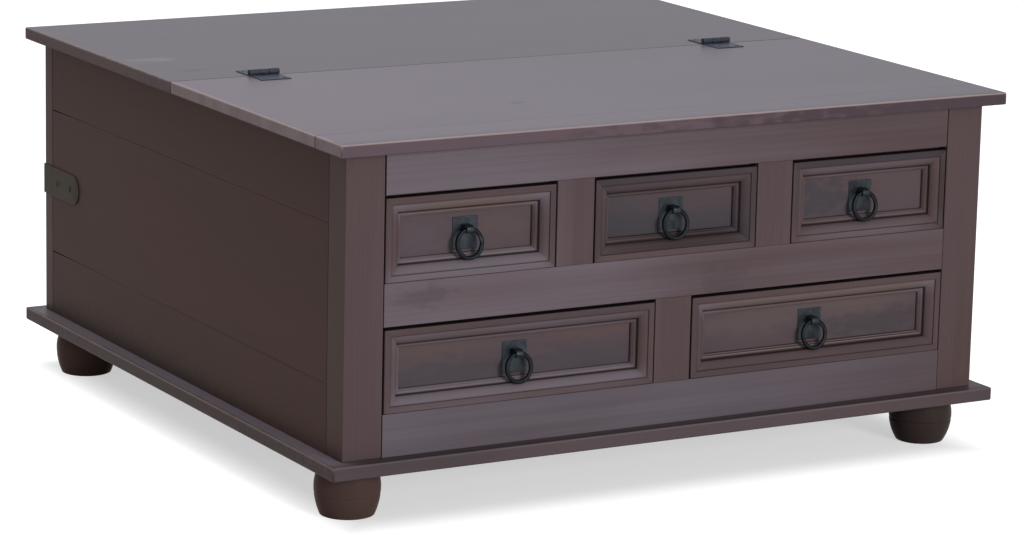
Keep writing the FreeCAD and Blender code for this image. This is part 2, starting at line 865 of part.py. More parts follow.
def hinge_leaf(name, x, end, knuckles):
    """A leaf on the top with its knuckles, the pin's bore and countersunk holes.

    knuckles are (low x, length) pairs from the middle of the hinge.
    """
    plate_y = leaf_gap if end == REAR else -size.hinge_reach
    plate_extent = (size.hinge_width, size.hinge_reach - leaf_gap, size.hinge_leaf_thickness)
    pieces = [box(f"{name}_plate", (x - size.hinge_width / 2, plate_y, table_top), plate_extent)]
    bores = []
    for number, (low, length) in enumerate(knuckles):
        web_y = ZERO if end == REAR else -leaf_gap
        web_extent = (length, leaf_gap, size.hinge_leaf_thickness)
        pieces.append(box(f"{name}_web_{number}", (x + low, web_y, table_top), web_extent))
        at = (x + low, ZERO, hinge_axis)
        pieces.append(
            cylinder(f"{name}_knuckle_{number}", at, size.knuckle_radius, length, Y_AXIS, 90)
        )
    bore_at = (x - size.hinge_width / 2 - size.cut_margin, ZERO, hinge_axis)
    bore_radius = size.pin_radius + size.pin_clearance
    bore_length = size.hinge_width + size.cut_margin * 2
    bores.append(cylinder(f"{name}_bore", bore_at, bore_radius, bore_length, Y_AXIS, 90))
    for number, (screw_x, screw_y) in enumerate(screw_places):
        sink = doc.addObject("Part::Cone", f"{name}_sink_{number}")
        bind(
            sink,
            Radius1=size.screw_shank_radius + size.fastener_clearance,
            Radius2=size.screw_head_radius + size.fastener_clearance,
            Height=size.hinge_leaf_thickness,
        )
        bores.append(place(sink, (x + screw_x, screw_y * end, table_top)))
    return cut(name, fuse(f"{name}_blank", pieces), bores)


def hinge_screws(name, x, end):
    """The three screws of one leaf, heads level with it."""
    foot = table_top + size.hinge_leaf_thickness - size.screw_length
    return [
        screw(f"{name}_{number}", (x + screw_x, screw_y * end, foot))
        for number, (screw_x, screw_y) in enumerate(screw_places)
    ]


def screw_holes(name, end):
    """Holes in the wood for the screws of both hinges on one side of the seam."""
    depth = size.screw_length - size.hinge_leaf_thickness
    radius = size.screw_shank_radius + size.fastener_clearance
    return [
        cylinder(
            f"{name}_{hinge}_{number}",
            (x + screw_x, screw_y * end, table_top - depth),
            radius,
            depth + size.cut_margin,
        )
        for hinge, x in hinge_places
        for number, (screw_x, screw_y) in enumerate(screw_places)
    ]


fixed_knuckles = [(-size.hinge_width / 2, size.knuckle_length), (outer_knuckle, size.knuckle_length)]
lid_knuckles = [(-lid_knuckle_half, lid_knuckle_half * 2)]
fixed_leaves = [hinge_leaf(f"{name}_fixed", x, FRONT, fixed_knuckles) for name, x in hinge_places]
lid_leaves = [hinge_leaf(f"{name}_lid", x, REAR, lid_knuckles) for name, x in hinge_places]
group("hinge_fixed_leaves", fixed_leaves)
group("hinge_lid_leaves", lid_leaves)
pin_length = size.hinge_width + size.pin_overhang * 2
pins = [
    cylinder(f"{name}_pin", (x - pin_length / 2, ZERO, hinge_axis), size.pin_radius, pin_length, Y_AXIS, 90)
    for name, x in hinge_places
]
group("hinge_pins", pins)
fixed_screws = [screw for name, x in hinge_places for screw in hinge_screws(f"{name}_fixed_screw", x, FRONT)]
lid_screws = [screw for name, x in hinge_places for screw in hinge_screws(f"{name}_lid_screw", x, REAR)]
group("hinge_fixed_screws", fixed_screws)
group("hinge_lid_screws", lid_screws)


# Fixed half of the top, lid and the cleats under the lid
def top_half(name, end):
    """Half of the top: rounded along its three outer edges, eased at the seam, drilled for hinges."""
    depth = half_depth + size.top_overhang_front - size.seam_gap / 2
    width = size.body_width + size.top_overhang_side * 2
    y = size.seam_gap / 2 if end == REAR else -half_depth - size.top_overhang_front
    body, feature = slab(f"{name}_slab", (-width / 2, y, body_top), (width, depth, size.top_thickness))
    seam_y = 0 if end == REAR else depth.number
    at_seam = size.seam_gap.number
    fillet = body.newObject("PartDesign::Fillet", f"{name}_rounded")
    fillet.Base = (feature, edges_where(feature, lambda spot: abs(spot.y - seam_y) > at_seam))
    bind(fillet, Radius=size.top_round)
    chamfer = body.newObject("PartDesign::Chamfer", f"{name}_eased")

    def on_seam_top(spot):
        """The long upper arris at the seam."""
        return abs(spot.y - seam_y) < at_seam and spot.z > size.top_thickness.number - at_seam

    chamfer.Base = (fillet, edges_where(fillet, on_seam_top))
    bind(chamfer, Size=size.seam_ease)
    return cut(name, body, screw_holes(f"{name}_hole", end))


keep("fixed_top", top_half("front_half", FRONT))
keep("lid_panel", top_half("rear_half", REAR))
cleats = [
    board(
        f"cleat_{word}",
        (
            size.cleat_spread / 2 * side - size.cleat_width / 2,
            size.seam_gap / 2 + size.cleat_front_gap,
            body_top - size.cleat_thickness,
        ),
        (size.cleat_width, size.cleat_length, size.cleat_thickness),
        size.board_ease,
    )
    for word, side in SIDES
]
group("lid_cleats", cleats)

# Build, test and write every node
doc.recompute()
for item in doc.Objects:
    if "Invalid" in item.State or "Error" in item.State:
        raise RuntimeError(f"{item.Label}: {item.State}")
for node in nodes:
    if node.Shape.isNull() or not node.Shape.isValid():
        raise RuntimeError(f"{node.Label}: no valid shape")
os.makedirs("parts", exist_ok=True)
for node in nodes:
    node.Shape.exportStep(f"parts/{node.Label}.step")
    print(f"{node.Label}: {len(node.Shape.Solids)} solids, {node.Shape.Volume / 1000:.1f} cm3")
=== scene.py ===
"""The look of a storage coffee table: stained pine boards, moulded drawers, turned feet, black iron.

Every new piece is a surface worked out with numpy, in metres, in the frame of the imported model: X runs
along the front, Y from front to back, Z up from the floor.
"""

import json
import logging
import math
from dataclasses import dataclass, field
from enum import Enum, IntEnum

import bpy
import numpy as np
from mathutils import Matrix, Vector

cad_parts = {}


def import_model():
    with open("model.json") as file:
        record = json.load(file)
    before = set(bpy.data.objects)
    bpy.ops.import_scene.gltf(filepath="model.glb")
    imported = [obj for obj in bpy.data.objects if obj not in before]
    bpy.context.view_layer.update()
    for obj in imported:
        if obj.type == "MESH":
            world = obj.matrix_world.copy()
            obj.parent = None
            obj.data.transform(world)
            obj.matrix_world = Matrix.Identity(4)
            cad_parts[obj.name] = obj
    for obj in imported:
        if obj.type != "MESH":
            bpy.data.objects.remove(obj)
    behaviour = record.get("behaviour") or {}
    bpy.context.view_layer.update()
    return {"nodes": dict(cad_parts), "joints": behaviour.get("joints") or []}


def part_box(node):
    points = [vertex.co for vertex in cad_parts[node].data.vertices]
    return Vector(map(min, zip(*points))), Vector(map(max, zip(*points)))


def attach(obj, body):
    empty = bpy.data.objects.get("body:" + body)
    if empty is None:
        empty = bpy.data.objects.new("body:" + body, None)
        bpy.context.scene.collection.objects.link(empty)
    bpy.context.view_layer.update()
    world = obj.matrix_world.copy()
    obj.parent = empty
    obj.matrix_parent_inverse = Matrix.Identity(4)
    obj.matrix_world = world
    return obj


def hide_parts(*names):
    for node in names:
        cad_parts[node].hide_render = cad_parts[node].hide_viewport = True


log = logging.getLogger("coffee_table")

Array = np.ndarray
Colour = tuple[float, float, float]
Spot = tuple[float, float, float]
Pair = tuple[float, float]
Value = float | Colour | bpy.types.NodeSocket

UP: Spot = (0.0, 0.0, 1.0)
RIGHT: Spot = (1.0, 0.0, 0.0)
WHITE: Colour = (1.0, 1.0, 1.0)
SHARP_ANGLE = math.radians(32)  # faces that meet at more than this have a sharp edge
BESIDE_ARRIS = 0.0006  # from a rounded arris to the line that keeps its shading narrow
PANEL_FACE = -0.4548  # front of the drawers' flat panels
PANEL_REACH = 0.05  # how far a panel's mark goes to front and back


class Axis(Enum):
    """The axis that a board's fibres run along."""

    X = 0
    Y = 1
    Z = 2


class Seed(IntEnum):
    """Where the chance values of each group of pieces start."""

    HINGES = 7
    BASE = 11
    POSTS = 21
    RAILS = 41
    STILES = 51
    SIDES = 61
    BACK = 81
    FRONT_TOP = 107
    LID = 113
    FRAMES = 200
    PULLS = 300


class Fibres(Enum):
    """Where a wood finish reads the direction of the fibres from."""

    OWN = "grain"
    ALONG_X = (0.0, 0.0, 0.0)
    ALONG_Y = (0.0, 0.0, -math.pi / 2)
    ALONG_Z = (0.0, math.pi / 2, 0.0)


@dataclass
class Surface:
    """A closed surface with what its finish needs at each point.

    Attributes:
        points: Places, one row a point.
        faces: Index arrays, each with one face a row.
        grain: Metres along, across and into the fibres, counted from the pith.
        edge: 1 on a worn arris and on a painted highlight, 0 on a flat, -1 in a hollow where stain gathers and
            in painted shade.
        tone: How light the stain took, about 0; near 2 on the drawers' top strips it is painted warm light.
    """

    points: Array
    faces: list[Array]
    grain: Array
    edge: Array
    tone: Array

    def volume(self) -> float:
        """Volume inside the surface, by a fan of tetrahedra under every face; below 0 if inside out."""
        total = 0.0
        for faces in self.faces:
            first = self.points[faces[:, 0]]
            for step in range(1, faces.shape[1] - 1):
                cross = np.cross(self.points[faces[:, step]], self.points[faces[:, step + 1]])
                total += float(np.einsum("ij,ij->", first, cross)) / 6
        return total

    def outward(self) -> "Surface":
        """The same surface with its faces pointing outwards."""
        if self.volume() < 0:
            self.faces = [faces[:, ::-1] for faces in self.faces]
        return self


def ring_faces(rings: int, around: int, closed: bool = False) -> Array:
    """Quads between neighbouring rings of a tube.

    Args:
        rings: Number of rings along the tube.
        around: Points on each ring, which closes on itself.
        closed: Whether the last ring meets the first.

    Returns:
        One quad a row.
    """
    row, spot = np.meshgrid(np.arange(rings if closed else rings - 1), np.arange(around), indexing="ij")
    beside, ahead = (spot + 1) % around, (row + 1) % rings
    corners = (row * around + spot, row * around + beside, ahead * around + beside, ahead * around + spot)
    return np.stack(corners, -1).reshape(-1, 4)


def tube(grid: Array, edge: Array, tone: float = 0.0, closed: bool = False) -> Surface:
    """A tube through a grid of places, whose finish follows its place and not a fibre.

    Args:
        grid: Places, ring by ring.
        edge: Wear, painted highlight and painted shade, of a shape that spreads over the grid.
        tone: Lightness of the finish.
        closed: Whether the last ring meets the first. If not, a flat cap lies over each end.

    Returns:
        The surface, facing outwards.
    """
    rings, around = grid.shape[:2]
    faces = [ring_faces(rings, around, closed)]
    if not closed:
        cap = np.arange(around)[None, :]
        faces += [cap[:, ::-1], cap + (rings - 1) * around]
    flat = grid.reshape(-1, 3)
    worn_and_painted_light = np.broadcast_to(edge, grid.shape[:-1]).ravel()
    return Surface(flat, faces, flat.copy(), worn_and_painted_light, np.full(len(flat), tone)).outward()


def turned(profile: Array, centre: Spot, axis: Spot, around: int) -> Array:
    """A profile turned about an axis.

    Point (m, n) lies at the profile's height m along the axis and at its radius m from it, at the angle
    of n over the number of points in a full turn.

    Args:
        profile: Rows of radius and height.
        centre: Where height 0 lies on the axis.
        axis: Unit direction of the heights.
        around: Points in a full turn.

    Returns:
        A grid of places, profile by turn.
    """
    up = np.array(axis, float)
    first = np.cross(up, (0.0, 1.0, 0.0) if abs(up[1]) < 0.9 else (1.0, 0.0, 0.0))
    first /= np.linalg.norm(first)
    second = np.cross(up, first)
    angle = np.linspace(0, 2 * np.pi, around, endpoint=False)
    spoke = np.cos(angle)[:, None] * first + np.sin(angle)[:, None] * second
    return np.array(centre) + profile[:, :1, None] * spoke + profile[:, 1:, None] * up


def arc(start: float, finish: float, steps: int) -> tuple[Array, Array]:
    """Cosines and sines of evenly spread angles.

    Args:
        start: First angle in degrees.
        finish: Last angle in degrees.
        steps: Number of angles.

    Returns:
        The cosines and the sines.
    """
    angle = np.radians(np.linspace(start, finish, steps))
    return np.cos(angle), np.sin(angle)


def flat_strip(size: Spot, path: Array, side: Spot, lift: Array, swell: Array | None = None) -> Surface:
    """A flat strip with rounded edges, carried along a path.

    Point (s, m) is the path's point s, plus the section's first value m times the swell at s along the
    side direction, plus its second value m along the lift direction.

    Args:
        size: Width and thickness of the strip, and radius of its edges.
        path: Places along the path.
        side: Direction of the strip's width.
        lift: Direction of its thickness at each place.
        swell: Factor on the width at each place.

    Returns:
        The strip's surface.
    """
    width, thickness, ease = size
    cosine, sine = arc(0, 90, 4)
    x, z = width / 2 - ease, thickness / 2 - ease
    across = np.concatenate([x + ease * cosine, -x - ease * sine, -x - ease * cosine, x + ease * sine])
    out = np.concatenate([z + ease * sine, z + ease * cosine, -z - ease * sine, -z - ease * cosine])
    factor = np.ones(len(path)) if swell is None else swell
    wide = (across * factor[:, None])[..., None] * np.array(side)
    grid = path[:, None, :] + wide + out[:, None] * lift[:, None, :]
    return tube(grid, np.tile([0.6, 1.0, 1.0, 0.6], 4))


def linked(name: str, data: bpy.types.ID) -> bpy.types.Object:
    """A new object in the scene."""
    thing = bpy.data.objects.new(name, data)
    bpy.context.scene.collection.objects.link(thing)
    return thing


@dataclass(frozen=True)
class Board:
    """A sawn board with eased arrises.

    A rounded rectangle is carried along the fibres. Towards each end it draws in along a quarter
    circle, so that the end arrises are eased as well. Slow sine waves, only ever inwards, keep its
    faces from being dead flat. Glue lines are fine V grooves along both broad faces that widen at the
    ends, and each strip between them has fibres of its own.

    Attributes:
        low: Lowest corner.
        high: Highest corner.
        along: The fibres' axis.
        seed: Start of the board's own chance values.
        ease: Radius of the arrises.
        radii: Radii at the corners low-low, high-low, high-high and low-high of the section, if they differ.
        draw: Share of the end's easing that the section's low, high, under and upper sides take.
        glue: Places across the board and strengths of the glue lines.
        groove: Depth of a glue line of strength 1.
        wave: Depth of the slow waves.
        tone: Lightness at the low and the high end.
        rub_and_highlight: Wear on the arrises along the board, on those at its ends, and on the end faces.
        under: Share of the wear that the under side's arrises take; below 1, that side has the rim's stain.
        rim: Lightness of the stain on the narrow faces and the ends, if it differs.
        halo: Darkening beside the upper face's low and high arris; on the base's ledges it is painted shade
            along with stain.
        ledge: Lightness added on the upper face beside its ends.
        shrink: How far the high side draws back towards the high end, which opens a crack there.
    """

    low: Spot
    high: Spot
    along: Axis
    seed: int = 0
    ease: float = 0.0015
    radii: tuple[float, float, float, float] | None = None
    draw: tuple[float, float, float, float] = (1.0, 1.0, 1.0, 1.0)
    glue: tuple[Pair, ...] = ()
    groove: float = 0.00025
    wave: float = 0.0002
    tone: Pair = (0.0, 0.0)
    rub_and_highlight: Spot = (0.6, 0.6, 0.0)
    under: float = 1.0
    rim: Pair | None = None
    halo: Pair = (0.0, 0.0)
    ledge: float = 0.0
    shrink: float = 0.0

    def stations(self, length: float, thin: float) -> tuple[Array, Array, Array]:
        """Where the section stands along the board.

        Args:
            length: Length of the board.
            thin: Its smallest thickness.

        Returns:
            Distance from the low end, how far the section draws in, and the wear there.
        """
        near, far = min(0.004, 0.1 * length), min(0.012, 0.2 * length)
        cosine, sine = arc(90, 0, 5)
        past = self.ease + np.array([BESIDE_ARRIS, near, far])
        start = np.concatenate([[0.0], self.ease * (1 - sine), past])
        ring = self.ease + min(near, 0.003, 0.1 * thin)
        inset = np.concatenate([[ring], 0.98 * self.ease * (1 - cosine), np.zeros(3)])
        wear_and_painted_light = self.rub_and_highlight[1] * np.array([0.0, 0.6, 0.9, 1.0, 0.9, 0.6, 0.4, 0.05, 0.0])
        steps = max(2, int(length / 0.06))
        middle = np.linspace(start[-1], length - start[-1], steps + 1)[1:-1]
        rest = np.zeros(len(middle))
        return (
            np.concatenate([start, middle, length - start[::-1]]),
            np.concatenate([inset, rest, inset[::-1]]),
            np.concatenate([wear_and_painted_light, rest, wear_and_painted_light[::-1]]),
        )

    def section(self, sides: list[Array], radii: Array, ends: Array) -> tuple[Array, Array, Array]:
        """The rounded rectangle at every station, from the middle of the low side round by the under side.

        Args:
            sides: Low, high, under and upper side at each station, as columns.
            radii: Corner radii at each station.
            ends: Nearness to an end at each station, as a column.

        Returns:
            Across, through and wear of each point of the section at each station, the wear including the halo's
            darkening.
        """
        low, high, under, upper = sides
        glue = np.array(self.glue, float).reshape(-1, 2)
        three = np.array([-1.0, 0.0, 1.0])
        power = np.repeat(glue[:, 1], 3)
        half_width, gape, deepen = 0.0003, 0.0012, 2.5
        lines = np.repeat(glue[:, 0], 3) + (half_width + gape * ends * power) * np.tile(three, len(glue))
        groove = self.groove * (1 + deepen * ends) * power * np.tile([0.0, 1.0, 0.0], len(glue))
        r = [radii[:, n : n + 1] for n in range(4)]

        def inner(width: Array, *away: float) -> Array:
            """Distances in from a corner, kept within the flat part of a side."""
            return np.hstack([np.minimum(step, (0.1 + 0.1 * n) * width) for n, step in enumerate(away)])

        broad, narrow = (BESIDE_ARRIS, 0.005, 0.014, 0.030), (BESIDE_ARRIS, 0.003)
        below, above = inner(high - low - r[0] - r[1], *broad), inner(high - low - r[2] - r[3], *broad)
        left, right = inner(upper - under - r[0] - r[3], *narrow), inner(upper - under - r[1] - r[2], *narrow)
        flat_low, flat_high = np.repeat(under, 4, 1), np.repeat(upper, 4, 1)

        def corner(p: Array, q: Array, radius: Array, start: float) -> tuple[Array, Array]:
            """Four points of a quarter circle from the start angle."""
            cosine, sine = arc(start, start + 90, 4)
            return p + radius * cosine, q + radius * sine

        c0 = corner(low + r[0], under + r[0], r[0], 180)
        c1 = corner(high - r[1], under + r[1], r[1], 270)
        c2 = corner(high - r[2], upper - r[2], r[2], 0)
        c3 = corner(low + r[3], upper - r[3], r[3], 90)
        across = [
            np.hstack([low, low]), c0[0],
            low + r[0] + below, lines, high - r[1] - below[:, ::-1], c1[0],
            np.hstack([high, high, high, high]), c2[0],
            high - r[2] - above, lines[:, ::-1], low + r[3] + above[:, ::-1], c3[0],
            np.hstack([low, low]),
        ]  # fmt: skip
        through = [
            under + r[0] + left[:, ::-1], c0[1],
            flat_low, under + groove, flat_low, c1[1],
            under + r[1] + right, upper - r[2] - right[:, ::-1], c2[1],
            flat_high, upper - groove[:, ::-1], flat_high, c3[1],
            upper - r[3] - left,
        ]  # fmt: skip
        turn = self.rub_and_highlight[0] * np.array([0.7, 1.0, 1.0, 0.7])
        flat, face, line = np.zeros(2), np.zeros(4), power * np.tile([0.0, -1.0, 0.0], len(glue))
        fade = np.array([0.0, -0.6, -1.0, -1.0])
        first, second = self.halo[1] * fade[::-1], self.halo[0] * fade
        below = self.under * turn
        wear_and_painted_light = [flat, below, face, line, face, below, flat, flat, turn, first, line[::-1], second, turn, flat]
        return np.hstack(across), np.hstack(through), np.concatenate(wear_and_painted_light)

    def surface(self) -> Surface:
        """The closed board.

        Returns:
            Its surface, with the fibres counted from a pith under the board.
        """
        chance = np.random.default_rng(self.seed)
        low, high = np.array(self.low), np.array(self.high)
        i = self.along.value
        j, k = sorted((n for n in range(3) if n != i), key=lambda n: low[n] - high[n])
        place, inset, end_wear = self.stations(high[i] - low[i], high[k] - low[k])
        phase = chance.uniform(0, 2 * np.pi, (4, 2))
        pace = chance.uniform(3.0, 11.0, (4, 2))
        swing = np.sin(place[:, None, None] * pace + phase).mean(-1)
        draw = np.array(self.draw)
        drawn = inset[:, None] * draw + self.wave * (0.5 - 0.5 * swing)
        crack_reach, gape_reach, ledge_reach = 0.06, 0.006, 0.018
        drawn[:, 1] += self.shrink * np.exp((place - place[-1]) / crack_reach)
        into = np.split(drawn, 4, 1)
        sides = [low[j] + into[0], high[j] - into[1], low[k] + into[2], high[k] - into[3]]
        own = np.array(self.radii or (self.ease,) * 4)
        spare = inset[:, None] * np.minimum(draw[[0, 1, 1, 0]], draw[[2, 2, 3, 3]])
        radii = np.maximum(own - spare, 0.02 * own)
        inward = np.minimum(place, place[-1] - place)[:, None]
        ends = np.exp(-inward / gape_reach)
        p, q, wear_and_painted_light = self.section(sides, radii, ends)
        grid = np.empty(p.shape + (3,))
        grid[..., i] = low[i] + place[:, None]
        grid[..., j] = p
        grid[..., k] = q
        seams = np.array([spot for spot, _ in self.glue])
        strip = np.searchsorted(seams, p[len(p) // 2] - 1e-5)
        shift = chance.uniform(0, 6, len(seams) + 1)[strip]
        pith = chance.uniform(-0.03, 0.03, len(seams) + 1)[strip]
        bed = chance.uniform(0.025, 0.06, len(seams) + 1)[strip]
        middle = np.concatenate([[low[j]], seams, [high[j]]])
        centre = ((middle[:-1] + middle[1:]) / 2)[strip]
        fibres = np.stack([grid[..., i] + shift, p - centre + pith, q - high[k] + bed], -1)
        height = np.clip(2 * (q - low[k]) / (high[k] - low[k]) - 1, 0, 1)
        ended = end_wear[:, None] * (self.under + (1 - self.under) * height)
        ended = np.maximum(ended, self.rub_and_highlight[2] * (inward < 1e-9))
        # Values under these limits keep their darkening: stain in glue lines and joints, and the halo, which on
        # the base's ledges is painted shade along with stain.
        stained = wear_and_painted_light < np.where(inward < self.ease, -0.6, -0.1)
        edge = np.where(stained, wear_and_painted_light, np.maximum(wear_and_painted_light, ended))
        ledge = (q > sides[3] - 1e-6) & (inward > self.ease * 1.5) & (inward < ledge_reach)
        edge = np.where(ledge, np.minimum(edge, 0.0), edge)
        share = place[:, None] / place[-1]
        tone = self.tone[0] + (self.tone[1] - self.tone[0]) * share + self.ledge * ledge
        narrow = np.maximum((p < sides[0] + 1e-6) | (p > sides[1] - 1e-6), inward < 0.7 * self.ease)
        narrow |= (self.under < 1) & (q < low[k] + self.ease)
        rim = self.rim or self.tone
        tone = np.where(narrow, rim[0] + (rim[1] - rim[0]) * share, tone)
        rows, around = p.shape
        half = np.arange(around // 2 - 1)
        cap = np.stack([half, half + 1, around - 2 - half, around - 1 - half], -1)
        faces = [ring_faces(rows, around), cap[:, ::-1], cap + (rows - 1) * around]
        flat, grain = grid.reshape(-1, 3), fibres.reshape(-1, 3)
        return Surface(flat, faces, grain, edge.ravel(), tone.ravel()).outward()


class Nodes:
    """A node tree, with short ways to lay nodes and join them."""

    def __init__(self, tree: bpy.types.NodeTree) -> None:
        """Start with the tree empty."""
        self.nodes, self.links = tree.nodes, tree.links
        self.nodes.clear()

    def feed(self, socket: bpy.types.NodeSocket, value: Value) -> None:
        """Give a socket a number, a colour or another node's output.

        Args:
            socket: The input.
            value: What it takes.
        """
        if isinstance(value, bpy.types.NodeSocket):
            self.links.new(value, socket)
        elif isinstance(value, tuple) and socket.type == "RGBA":
            socket.default_value = (*value, 1.0)
        else:
            socket.default_value = value

    def math(self, work: str, first: Value, second: Value = 0.0) -> bpy.types.NodeSocket:
        """One sum on two numbers.

        Args:
            work: The sum's name in Blender.
            first: First number.
            second: Second number.

        Returns:
            The result's socket.
        """
        node = self.nodes.new("ShaderNodeMath")
        node.operation = work
        self.feed(node.inputs[0], first)
        self.feed(node.inputs[1], second)
        return node.outputs[0]

    def vector(self, work: str, first: Value, second: Value = (0.0, 0.0, 0.0)) -> bpy.types.NodeSocket:
        """One sum on two places.

        Args:
            work: The sum's name in Blender.
            first: First place.
            second: Second place.

        Returns:
            The result's socket, which is a number for a length.
        """
        node = self.nodes.new("ShaderNodeVectorMath")
        node.operation = work
        self.feed(node.inputs[0], first)
        self.feed(node.inputs[1], second)
        return node.outputs["Value" if work == "LENGTH" else "Vector"]

    def split(self, place: Value) -> bpy.types.bpy_prop_collection:
        """The three coordinates of a place, as sockets."""
        node = self.nodes.new("ShaderNodeSeparateXYZ")
        self.feed(node.inputs[0], place)
        return node.outputs

    def place(self) -> bpy.types.NodeSocket:
        """The place in the object's frame."""
        return self.nodes.new("ShaderNodeTexCoord").outputs["Object"]

    def noise(
        self, place: Value, factors: Spot, detail: float = 2.0, rough: float = 0.5
    ) -> bpy.types.NodeSocket:
        """Soft noise from 0 to 1 on a stretched place.

        Args:
            place: The place.
            factors: Repeats per metre along each coordinate.
            detail: Octaves.
            rough: Weight of the finer octaves.

        Returns:
            The noise.
        """
        node = self.nodes.new("ShaderNodeTexNoise")
        node.inputs["Scale"].default_value = 1.0
        node.inputs["Detail"].default_value = detail
        node.inputs["Roughness"].default_value = rough
        self.feed(node.inputs["Vector"], self.vector("MULTIPLY", place, factors))
        return node.outputs["Fac"]

    def about(self, noise: Value, share: float) -> bpy.types.NodeSocket:
        """Noise made to swing about 0, times a share."""
        return self.math("MULTIPLY", self.math("SUBTRACT", noise, 0.5), share)

    def knots(self, place: Value, factors: Spot) -> bpy.types.NodeSocket:
        """Distance from the nearest knot, on a stretched place.

        Args:
            place: The place.
            factors: Knots per metre along each coordinate.

        Returns:
            The distance's socket.
        """
        node = self.nodes.new("ShaderNodeTexVoronoi")
        node.inputs["Scale"].default_value = 1.0
        self.feed(node.inputs["Vector"], self.vector("MULTIPLY", place, factors))
        return node.outputs["Distance"]

    def late_wood(
        self, place: Value, sway: Value, rings: float, start: float, swirl: Value = 0.0
    ) -> bpy.types.NodeSocket:
        """Late wood of the growth rings: it comes up slowly within a ring and stops sharply at its end.

        Args:
            place: Metres along, across and into the fibres, counted from the pith.
            sway: Metres that the rings stray sideways.
            rings: Growth rings per metre.
            start: Share of a ring at which late wood starts.
            swirl: Metres added to the distance from the pith.

        Returns:
            The share of late wood.
        """
        part = self.split(place)
        across = self.math("ADD", part[1], sway)
        square = self.math("ADD", self.math("MULTIPLY", across, across), self.math("POWER", part[2], 2.0))
        radius = self.math("ADD", self.math("SQRT", square), swirl)
        turns = self.math("FRACT", self.math("MULTIPLY", radius, rings))
        return self.math("MULTIPLY", self.between(turns, start, 0.92), self.between(turns, 1.0, 0.93))

    def between(
        self, value: Value, low: float, high: float, bottom: float = 0.0, top: float = 1.0
    ) -> bpy.types.NodeSocket:
        """A number eased from one range into another.

        Args:
            value: The number.
            low: Start of its range.
            high: End of its range.
            bottom: Result at the start.
            top: Result at the end.

        Returns:
            The eased number.
        """
        node = self.nodes.new("ShaderNodeMapRange")
        node.interpolation_type = "SMOOTHSTEP"
        for socket, number in zip(node.inputs[:5], (value, low, high, bottom, top)):
            self.feed(socket, number)
        return node.outputs["Result"]

    def mix(self, share: Value, first: Value, second: Value) -> bpy.types.NodeSocket:
        """Two colours mixed.

        Args:
            share: Share of the second.
            first: First colour.
            second: Second colour.

        Returns:
            The mixed colour.
        """
        node = self.nodes.new("ShaderNodeMix")
        node.data_type = "RGBA"
        self.feed(node.inputs[0], share)
        self.feed(node.inputs[6], first)
        self.feed(node.inputs[7], second)
        return node.outputs[2]

    def own(self, name: str, output: str = "Fac") -> bpy.types.NodeSocket:
        """A value that the mesh carries at its points.

        Args:
            name: The attribute's name.
            output: Which of its outputs.

        Returns:
            The value's socket.
        """
        node = self.nodes.new("ShaderNodeAttribute")
        node.attribute_name = name
        return node.outputs[output]

    def fibres(self, source: Fibres) -> bpy.types.NodeSocket:
        """Metres along, across and into the fibres.

        Args:
            source: The mesh's own fibres, or the axis of the object that they run along.

        Returns:
            The place, with the fibres along its first coordinate.
        """
        if source is Fibres.OWN:
            return self.own(source.value, "Vector")
        turn = self.nodes.new("ShaderNodeMapping")
        turn.inputs["Rotation"].default_value = source.value
        self.feed(turn.inputs["Vector"], self.place())
        return turn.outputs["Vector"]

    def seen(self) -> bpy.types.NodeSocket:
        """1 for rays from the camera and for those that metal or glass sends on."""
        path = self.nodes.new("ShaderNodeLightPath").outputs
        sent = self.math("MAXIMUM", path["Is Glossy Ray"], path["Is Transmission Ray"])
        return self.math("MAXIMUM", path["Is Camera Ray"], sent)


class Shading(Nodes):
    """One material's nodes about a principled shader."""

    def __init__(self, name: str) -> None:
        """Start a material with its shader."""
        self.material = bpy.data.materials.new(name)
        self.material.use_nodes = True
        super().__init__(self.material.node_tree)
        self.shader = self.nodes.new("ShaderNodeBsdfPrincipled")
        self.output = self.nodes.new("ShaderNodeOutputMaterial")
        self.feed(self.output.inputs["Surface"], self.shader.outputs["BSDF"])

    def dress(self, looks: dict[str, Value]) -> None:
        """Feed the shader's sockets by their names."""
        for name, value in looks.items():
            self.feed(self.shader.inputs[name], value)

    def bump(self, height: Value, depth: float, strength: float) -> None:
        """Raise the surface by a height map.

        Args:
            height: Heights from 0 to 1.
            depth: Depth of 1, in metres.
            strength: Share of it that shows.
        """
        node = self.nodes.new("ShaderNodeBump")
        node.inputs["Strength"].default_value = strength
        node.inputs["Distance"].default_value = depth
        self.feed(node.inputs["Height"], height)
        self.feed(self.shader.inputs["Normal"], node.outputs["Normal"])


@dataclass(frozen=True)
class Mark:
    """A soft oval mark on a board.

    Attributes:
        place: Middle of the mark in the object's frame.
        reach: How far it goes along each axis.
        colour: What it tends to.
        share: How strong it is.
    """

    place: Spot
    reach: Spot
    colour: Colour
    share: float


